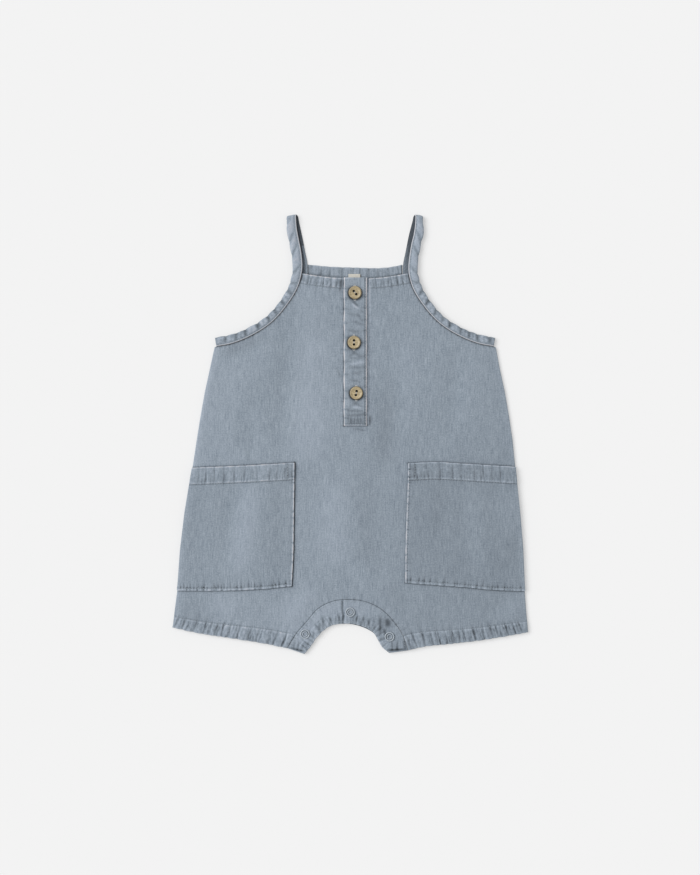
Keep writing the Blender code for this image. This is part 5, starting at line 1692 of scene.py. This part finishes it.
def strap_fit(y, front_share, mirror):
    """Share of the width and shift outwards of a strap at height y."""
    if not mirror:
        return 1.0, 0.0
    out = STRAP_OUT if front_share > 0 else STRAP_OUT_BACK
    return np.interp(y, *STRAP_NARROW), np.interp(y, *out)


def ring_point(ring, sideways, up, outward):
    """A point of a ring, from its centre sideways, up along its normal and away from the neck."""
    point = np.array(ring[0]) + np.array(ring[1]) * sideways + np.array(ring[2]) * up
    return point - np.array([outward, 0.0, 0.0])


print("binding section:", len(TAPE_SECTION), "points")

# %% Both bindings
def binding(name, node, creases, nicks, seed, mirror):
    """One binding and strap."""
    marks, heights = puffs(creases, FOLD_RUN, 1.0, seed)
    draw = random.Random(seed + 9)
    strengths = [draw.uniform(0.6, 1.2) for _ in creases]
    back_creases = every(9.0, 170.0, seed + 40)
    back_marks, back_heights = puffs(back_creases, 172.0, 0.25, seed + 41)
    points, tones, grain = [], [], []
    for ring in BINDING_RINGS:
        centre, _, normal, width, thick, run, front_share = ring
        past_fold = run - FOLD_RUN
        inner_face_shade = np.interp(past_fold, *INNER_FACE_SHADE)
        lean = np.interp(run, *CREASE_LEAN)
        puff_shading = np.interp(run, *PUFF_SHADING)
        strap_pale = np.interp(run, *STRAP_PALE) * front_share * (0.4 if mirror else 1.0)
        narrower, outward = strap_fit(centre[1], front_share, mirror)
        for u, v, carried, shaded, wear_and_shade in TAPE_SECTION:
            sideways = u * width / 2 * narrower
            if front_share > 0:
                leaned = np.array([run + lean * sideways])
                wave = puff_height(marks, heights, np.minimum(leaned, FOLD_RUN))[0]
                gap, which = nearest_crease(marks[1:-1], leaned)
                valley = strengths[which[0]] * bell(gap[0], 1.9 - 0.28 * sideways)
                nick = bell(nearest_crease(nicks, leaned)[0][0], 1.0)
            else:
                leaned = np.array([past_fold + 0.35 * sideways])
                wave = puff_height(back_marks, back_heights, leaned)[0]
                valley, nick = 0.25 * bell(nearest_crease(back_creases, leaned)[0][0], 1.2), 0.0
            up = v * thick + PUFF * carried * (wave - 0.35 * nick)
            if normal[2] < 0:
                up = min(up - 0.15 * carried, thick / 2)
            if u < -0.9:
                sideways -= SCALLOP * (wave - 0.5) * front_share
            points.append(ring_point(ring, sideways, up, outward))
            speckle = noise.noise(Vector((run / 2.6, sideways / 1.8, seed)))
            # Puffs: crests paler, by wear and painted highlight, painted shade in creases and nicks, and
            # speckles of uneven wear.
            tone = wear_and_shade + shaded * puff_shading * (0.42 * (wave - 0.42) - 0.60 * valley - 0.34 * nick)
            tone += strap_pale * min(1.0, 0.4 + 2.0 * shaded) + 0.36 * shaded * puff_shading * speckle
            # The underside that shows past the fold gets its painted shade.
            if v < 0 and past_fold > 0:
                tone += inner_face_shade
                if u > 0.55 and past_fold > 34.0:
                    tone += 0.15 if mirror else 0.42
            tones.append(tone + LIGHT_FALLOFF_ACROSS * centre[0])
            grain.append(((sideways - run) * math.sqrt(0.5), (sideways + run) * math.sqrt(0.5)))
    points, grain = np.array(points), np.array(grain) + 500.0 * seed
    sides, count = len(TAPE_SECTION), len(BINDING_RINGS)
    faces = [tuple(reversed(range(sides))), tuple((count - 1) * sides + k for k in range(sides))]
    for first in range(0, (count - 1) * sides, sides):
        for side in range(sides):
            a, b = first + side, first + (side + 1) % sides
            faces.append((a, b, b + sides, a + sides))
    if mirror:
        points = mirrored(points)
        faces = [face[::-1] for face in faces]
    return dress(name, points, faces, grain, tones, outer_cloth, "chambray", node)


binding_left = binding("binding_left", "binding_strap_left", BINDING_LEFT_CREASES,
                       (5.0, 15.0, 25.0, 36.0, 49.5, 60.0, 70.5, 82.0), 71, False)
binding_right = binding("binding_right", "binding_strap_right", BINDING_RIGHT_CREASES,
                        (10.0, 21.0, 29.5, 40.0, 59.5, 70.0, 82.0, 93.0), 72, True)

# %% [markdown]
# ## Stitches
#
# Topstitching is what holds every edge. One stitch is modelled once: a short cylinder of thread,
# rounded, with both ends bent down into the cloth. It is then copied along each row at a sewing
# machine's stitch length, each copy turned along the row and tilted with the cloth. The thread is
# the cloth's own colour, so the rows read as fine dashes.

# %% One stitch
def model_stitch():
    """A stitch along X, one unit long and one unit thick, as points and faces."""
    bpy.ops.object.select_all(action="DESELECT")
    bpy.ops.mesh.primitive_cylinder_add(vertices=6, radius=0.5, depth=1.0, end_fill_type="NGON",
                                        rotation=(0.0, math.pi / 2, 0.0))
    stitch = bpy.context.active_object
    bpy.ops.object.transform_apply(location=True, rotation=True, scale=True)
    bpy.ops.object.mode_set(mode="EDIT")
    for x in (-0.3, 0.3):
        bpy.ops.mesh.select_all(action="SELECT")
        bpy.ops.mesh.bisect(plane_co=(x, 0.0, 0.0), plane_no=(1.0, 0.0, 0.0))
    bpy.ops.object.mode_set(mode="OBJECT")
    mesh = stitch.data
    for vertex in mesh.vertices:
        if abs(vertex.co.x) > 0.45:
            vertex.co.y *= 0.55
            vertex.co.z = vertex.co.z * 0.5 - 0.55
    points = np.array([tuple(vertex.co) for vertex in mesh.vertices])
    faces = [tuple(polygon.vertices) for polygon in mesh.polygons]
    bpy.data.objects.remove(stitch)
    return points, faces


STITCH_POINTS, STITCH_FACES = model_stitch()
print("one stitch:", len(STITCH_POINTS), "points,", len(STITCH_FACES), "faces")

# %% Stitches along a row
STITCH_LENGTH, STITCH_WIDTH, STITCH_HEIGHT = 2.0, 0.48, 0.34
SEWN_SHARE = 0.67           # where a binding's row runs, as a share of its half width


def sewn(name, stitches, width, height, finish):
    """Stitches as one piece; each is its two ends and +1, or -1 if it faces down."""
    points, faces = [], []
    for a, b, facing in stitches:
        travel = b - a
        length = np.linalg.norm(travel)
        travel /= length
        side = np.cross((0.0, 0.0, 1.0), travel)
        side /= np.linalg.norm(side)
        up = np.cross(travel, side) * facing
        base = len(points) * len(STITCH_POINTS)
        points.append((a + b) / 2 + STITCH_POINTS[:, 0:1] * travel * length
                      + STITCH_POINTS[:, 1:2] * side * width + STITCH_POINTS[:, 2:3] * up * height)
        faces += [tuple(base + k for k in face[::facing]) for face in STITCH_FACES]
    print(f"{name}: {len(stitches)} stitches")
    return new_piece(name, np.vstack(points), faces, finish)


def topstitched(name, rows):
    """Rows of stitches. A row is a line of x, y, z points and +1, or -1 if it faces down."""
    draw = random.Random(len(name))
    stitches = []
    for line, facing in rows:
        length = run_of(line[:, :2])[-1]
        for start in np.arange(0.5 * (length % PITCH), length - 0.8 * PITCH, PITCH):
            start += draw.uniform(-0.08, 0.08)
            a, b = points_at(line, np.array([start, start + STITCH_LENGTH]))
            stitches.append((a, b, facing))
    return sewn(name, stitches, STITCH_WIDTH, STITCH_HEIGHT, tonal_thread)


def lying(line, surface, lift=0.02, facing=1):
    """A row that lies on a surface, given as a line on the plan."""
    height = surface(line[:, :2])[0]
    return np.column_stack([line[:, :2], height + facing * lift]), facing


def underneath(line):
    """A row on the underside of the back, pressed into it."""
    return lying(line, back_under, -0.12, -1)


def binding_rows(mirror):
    """The rows through a binding, close to its sewn edge, on the front and on the back."""
    rows = []
    for facing in (1, -1):
        line = []
        for ring in BINDING_RINGS:
            centre, _, _, width, thick, _, front_share = ring
            if (facing > 0) == (front_share > 0.5):
                narrower, outward = strap_fit(centre[1], front_share, mirror)
                line.append(ring_point(ring, SEWN_SHARE * width / 2 * narrower, 0.22 * thick + 0.02, outward))
        line = np.array(line)[2:-2]
        rows.append((mirrored(line) if mirror else line, facing))
    return rows


# %% All the rows
front_stitches = topstitched("front_stitches", [
    lying(left_leg.beside_stitches(-0.2)[2:-2], front_surface),
    lying(right_leg.beside_stitches(-0.2)[2:-2], front_surface),
    lying(neck_left.beside_stitches(-0.2)[3:-2], front_surface),
    lying(neck_right.beside_stitches(-0.2)[2:-3], front_surface),
])

pocket_rows = []
for mouth, bottom, inner, surface, column in zip(pocket_mouths, pocket_bottoms, pocket_inners,
                                                 (left_pocket_surface, right_pocket_surface),
                                                 (left_column, right_column)):
    pocket_rows.append(lying(column, surface))
    for hem, shift in ((mouth, -0.2), (bottom, 0.0), (inner, 0.0)):
        pocket_rows.append(lying(hem.beside_stitches(shift)[2:-2], surface))
topstitched("pocket_stitches", pocket_rows)

band_stitches = topstitched("crotch_stitches", [
    lying(band_edge.inward(2.2)[2:-2], band_surface),
    lying((crotch_seam - left_of(crotch_seam) * 1.6)[3:-3], band_surface),
])

strip_y = np.arange(OVER_BOTTOM + 1.5, OVER_TOP - 1.5, 1.0)
strip_x = np.arange(OVER_LEFT + 2.2, OVER_RIGHT - 2.2, 1.0)
placket_lines = [upright(x, strip_y) for x in (OVER_LEFT + OVER_STITCH, OVER_RIGHT - OVER_STITCH)]
placket_lines += [level(strip_x, OVER_BOTTOM + up) for up in (OVER_STITCH, END_BOX)]
placket_stitches = topstitched("placket_stitches", [lying(line, over_surface) for line in placket_lines])

binding_stitches = topstitched("binding_stitches", binding_rows(False) + binding_rows(True))

inside_rows = [lying(back_neck.beside_stitches(-0.2)[2:-2], back_inner)]
inside_rows += [underneath(hem.beside_stitches(-0.2)[2:-2]) for hem in (*under_legs, under_neck)]
back_stitches = topstitched("back_stitches", inside_rows)

# %% [markdown]
# ## Buttonholes and buttons
#
# Each buttonhole runs down the over strip, bound with close satin stitches, and its ends show
# above and below the button; the part that the button hides is left out. The button is turned: a
# disc with a raised rim and a dished middle, drilled twice. It is modelled as a turner would cut
# it, by extruding the top face of a cylinder and drawing it in, step by step, and drilled with a
# Boolean. Dark bark is left on its shoulder, painted darker on the lower left as shade, the holes'
# walls are painted near black as the shade inside them, and thread crosses between the holes.

# %% Buttonholes
HOLE_HALF, HOLE_SIDE = 7.6, 1.15
SATIN_STEP, SATIN_WIDTH, SATIN_HEIGHT = 0.42, 0.46, 0.34
UNDER_BUTTON = 3.4          # half of the stretch that the button hides
SLIT, END_SLIT, END_SIDE = 0.25, 0.3, 1.35


def buttonhole(x0, y0):
    """Satin stitches round a slit, all pointing away from it."""
    lines = []
    straight = HOLE_HALF - HOLE_SIDE
    for y in np.arange(-straight, straight, SATIN_STEP):
        if abs(y) > UNDER_BUTTON:
            lines += [((x0 + side * SLIT, y0 + y), (x0 + side * (HOLE_SIDE + SLIT), y0 + y))
                      for side in (-1, 1)]
    for end in (-1, 1):
        for angle in np.arange(0.0, math.pi + 0.01, math.pi / 8):
            x, y = math.cos(angle), end * math.sin(angle)
            lines.append([(x0 + radius * x, y0 + end * straight + radius * y)
                          for radius in (END_SLIT, END_SIDE)])
    stitches = []
    for line in lines:
        row, facing = lying(np.array(line), over_surface, lift=0.12)
        stitches.append((row[0], row[1], facing))
    return stitches


hole_stitches = [stitch for centre in BUTTON_CENTRES for stitch in buttonhole(*centre)]
buttonholes = sewn("buttonholes", hole_stitches, SATIN_WIDTH, SATIN_HEIGHT, hole_thread)

# %% Buttons
BUTTON_RADIUS = 6.35
BUTTON_TURNS = [39.0, 0.0, -12.0]           # degrees from upright, top to bottom
BLANK_BASE, BLANK_TOP = 0.6, 1.35           # of the cylinder it is turned from
# Steps from the blank's top face: new radius and height above the button's underside.
BUTTON_TURNING = [
    (6.2, 1.65), (5.95, 1.98), (5.6, 2.18), (5.2, 2.2), (4.8, 2.1), (4.45, 1.92), (4.1, 1.82),
    (3.4, 1.78),
]
UNDER_TURNING = [(5.9, 0.2), (5.3, 0.0)]
HOLE_RADIUS, HOLE_PITCH = 1.0, 3.7
BARK_AND_SHADE_FROM, BARK_AND_SHADE_TO = 5.45, 6.15
DRILLED = 3.2               # upright walls nearer to the middle than this are the holes' walls
BAR_SIDE, BAR_LIFT, BAR_SHORT = 0.26, 1.92, 0.85
BAR_WIDTH, BAR_HEIGHT = 0.40, 0.36


def select_only(*pieces):
    """Selects just these pieces and makes the first the active one."""
    bpy.ops.object.select_all(action="DESELECT")
    for piece in pieces:
        piece.select_set(True)
    bpy.context.view_layer.objects.active = pieces[0]


def select_faces(piece, test):
    """In edit mode, selects just the faces whose centre and normal pass a test."""
    bpy.ops.object.mode_set(mode="EDIT")
    bpy.ops.mesh.select_all(action="DESELECT")
    bpy.ops.object.mode_set(mode="OBJECT")
    for polygon in piece.data.polygons:
        polygon.select = test(polygon.center, polygon.normal)
    bpy.ops.object.mode_set(mode="EDIT")


def turn_face(radius, height, steps):
    """Extrudes the selected face to each height of the steps and draws it in to each radius."""
    for new_radius, new_height in steps:
        bpy.ops.mesh.extrude_region_move(
            TRANSFORM_OT_translate={"value": (0.0, 0.0, (new_height - height) * MM)})
        share = new_radius / radius
        bpy.ops.transform.resize(value=(share, share, 1.0), center_override=(0.0, 0.0, 0.0))
        radius, height = new_radius, new_height


def turned_button(name, node, centre, turn):
    """One two-hole button."""
    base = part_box(node)[0].z
    bpy.ops.object.select_all(action="DESELECT")
    bpy.ops.mesh.primitive_cylinder_add(vertices=64, radius=BUTTON_RADIUS * MM,
                                        depth=(BLANK_TOP - BLANK_BASE) * MM,
                                        location=(0.0, 0.0, (BLANK_TOP + BLANK_BASE) / 2 * MM))
    button = bpy.context.active_object
    button.name = name
    button.data.name = name
    bpy.ops.object.transform_apply(location=True, rotation=True, scale=True)
    bpy.ops.object.mode_set(mode="EDIT")
    bpy.ops.mesh.select_mode(type="FACE")
    select_faces(button, lambda spot, normal: normal.z > 0.9 and spot.z > 1.3 * MM)
    turn_face(BUTTON_RADIUS, BLANK_TOP, BUTTON_TURNING)
    select_faces(button, lambda spot, normal: normal.z < -0.9 and spot.z < 0.7 * MM)
    turn_face(BUTTON_RADIUS, BLANK_BASE, UNDER_TURNING)
    bpy.ops.object.mode_set(mode="OBJECT")

    for side in (-1, 1):
        bpy.ops.object.select_all(action="DESELECT")
        bpy.ops.mesh.primitive_cone_add(vertices=20, radius1=HOLE_RADIUS * MM, radius2=HOLE_RADIUS * 1.3 * MM,
                                        depth=4.0 * MM, location=(0.0, side * HOLE_PITCH / 2 * MM, 0.6 * MM))
        drill = bpy.context.active_object
        cut = button.modifiers.new("drill", "BOOLEAN")
        cut.operation, cut.solver, cut.object = "DIFFERENCE", "EXACT", drill
        select_only(button)
        bpy.ops.object.modifier_apply(modifier="drill")
        bpy.data.objects.remove(drill)
    button.rotation_euler = (0.0, 0.0, math.radians(turn))
    button.location = (centre[0] * MM, centre[1] * MM, base)
    select_only(button)
    bpy.ops.object.transform_apply(location=True, rotation=True, scale=True)
    bpy.ops.object.shade_smooth_by_angle(angle=math.radians(40.0))

    bark_and_shade = button.data.attributes.new("bark_and_shade", "FLOAT", "POINT")
    for vertex, value in zip(button.data.vertices, bark_and_shade.data):
        x, y = vertex.co.x / MM - centre[0], vertex.co.y / MM - centre[1]
        away = math.hypot(x, y)
        # Dark bark round the shoulder, with painted shade that makes it darkest on the lower left.
        dark = 0.66 - 0.34 * (x + y) / (1.41 * max(away, 0.1))
        value.value = dark * float(smooth_step((away - BARK_AND_SHADE_FROM) / (BARK_AND_SHADE_TO - BARK_AND_SHADE_FROM)))
    button.data.materials.clear()
    button.data.materials.append(corozo)
    button.data.materials.append(painted_bore_shade)
    # The holes' walls take the near-black finish, painted as the shade inside the holes.
    for polygon in button.data.polygons:
        away = math.hypot(polygon.center.x / MM - centre[0], polygon.center.y / MM - centre[1])
        polygon.material_index = int(abs(polygon.normal.z) < 0.7 and away < DRILLED)
    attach(button, "root")
    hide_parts(node)
    print(f"{name}: base {base / MM:.2f} mm, {len(button.data.polygons)} faces")
    return base / MM


bars = []
for place, centre, turn in zip(("top", "middle", "bottom"), BUTTON_CENTRES, BUTTON_TURNS):
    base = turned_button(f"button_turned_{place}", f"button_{place}", centre, turn)
    angle = math.radians(turn)
    along = np.array([-math.sin(angle), math.cos(angle)])
    across = np.array([along[1], -along[0]])
    half_bar = np.array([*along * (HOLE_PITCH / 2 - BAR_SHORT), 0.0])
    for shift, lift in ((-BAR_SIDE, 0.0), (BAR_SIDE, 0.05)):
        middle = np.array([*centre + across * shift, base + BAR_LIFT + lift])
        bars.append((middle - half_bar, middle + half_bar, 1))
sewn("button_thread_bars", bars, BAR_WIDTH, BAR_HEIGHT, button_thread)

# %% [markdown]
# ## Ring snaps
#
# An open ring snap is a pressed metal ring whose prongs clench through the cloth, with the cloth
# bulging up in its middle. The ring is a torus, flattened, and a smaller torus inside it is the
# lip of the stud underneath. The bulge is already in the band's own shape.

# %% Snaps
# The outer ring and the lip: radius, thickness, flattening and height of the middle.
SNAP_RINGS = ((4.0, 0.50, 0.75, 0.32), (2.2, 0.34, 0.9, 0.40))


def ring_snap(name, node, centre):
    """One painted ring snap with its inner lip."""
    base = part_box(node)[0].z
    rings = []
    for major, minor, flat, lift in SNAP_RINGS:
        bpy.ops.object.select_all(action="DESELECT")
        bpy.ops.mesh.primitive_torus_add(major_segments=48, minor_segments=12, major_radius=major * MM,
                                         minor_radius=minor * MM,
                                         location=(centre[0] * MM, centre[1] * MM, base + lift * MM))
        ring = bpy.context.active_object
        ring.scale = (1.0, 1.0, flat)
        bpy.ops.object.transform_apply(location=True, rotation=True, scale=True)
        rings.append(ring)
    select_only(*rings)
    bpy.ops.object.join()
    snap = rings[0]
    snap.name = name
    snap.data.name = name
    snap.data.polygons.foreach_set("use_smooth", [True] * len(snap.data.polygons))
    snap.data.materials.clear()
    snap.data.materials.append(snap_paint)
    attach(snap, "root")
    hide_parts(node)
    print(f"{name}: {len(snap.data.polygons)} faces")


for node, centre in SNAP_CENTRES.items():
    ring_snap(node.replace("snap", "ring_snap"), node, centre)

# %% [markdown]
# ## What each cloth was cut from
#
# The size that every cloth was cut to, before it was hemmed and puckered, is printed here. The
# panels keep turnings of about 10 mm at their seams and their hem depth at their edges. A binding
# is given as the tape it is once folded, because its shell is that tape's outside.

# %% Cut sizes of the cloths
def declare(piece, flat):
    """Prints a cloth's flat cut in millimetres."""
    print(f"{piece.name}: cut {flat[0]:g} x {flat[1]:g} mm")


declare(back_cloth, (358.0, 393.0))
declare(front_cloth, (358.0, 385.0))
declare(left_pocket, (126.0, 148.0))
declare(right_pocket, (128.0, 148.0))
declare(placket_over, (44.0, 160.0))
declare(placket_under, (42.0, 158.0))
declare(band_front, (116.0, 56.0))
declare(band_back, (116.0, 56.0))
declare(neck_label, (12.0, 15.5))
declare(binding_left, (10.0, 345.0))
declare(binding_right, (10.0, 345.0))
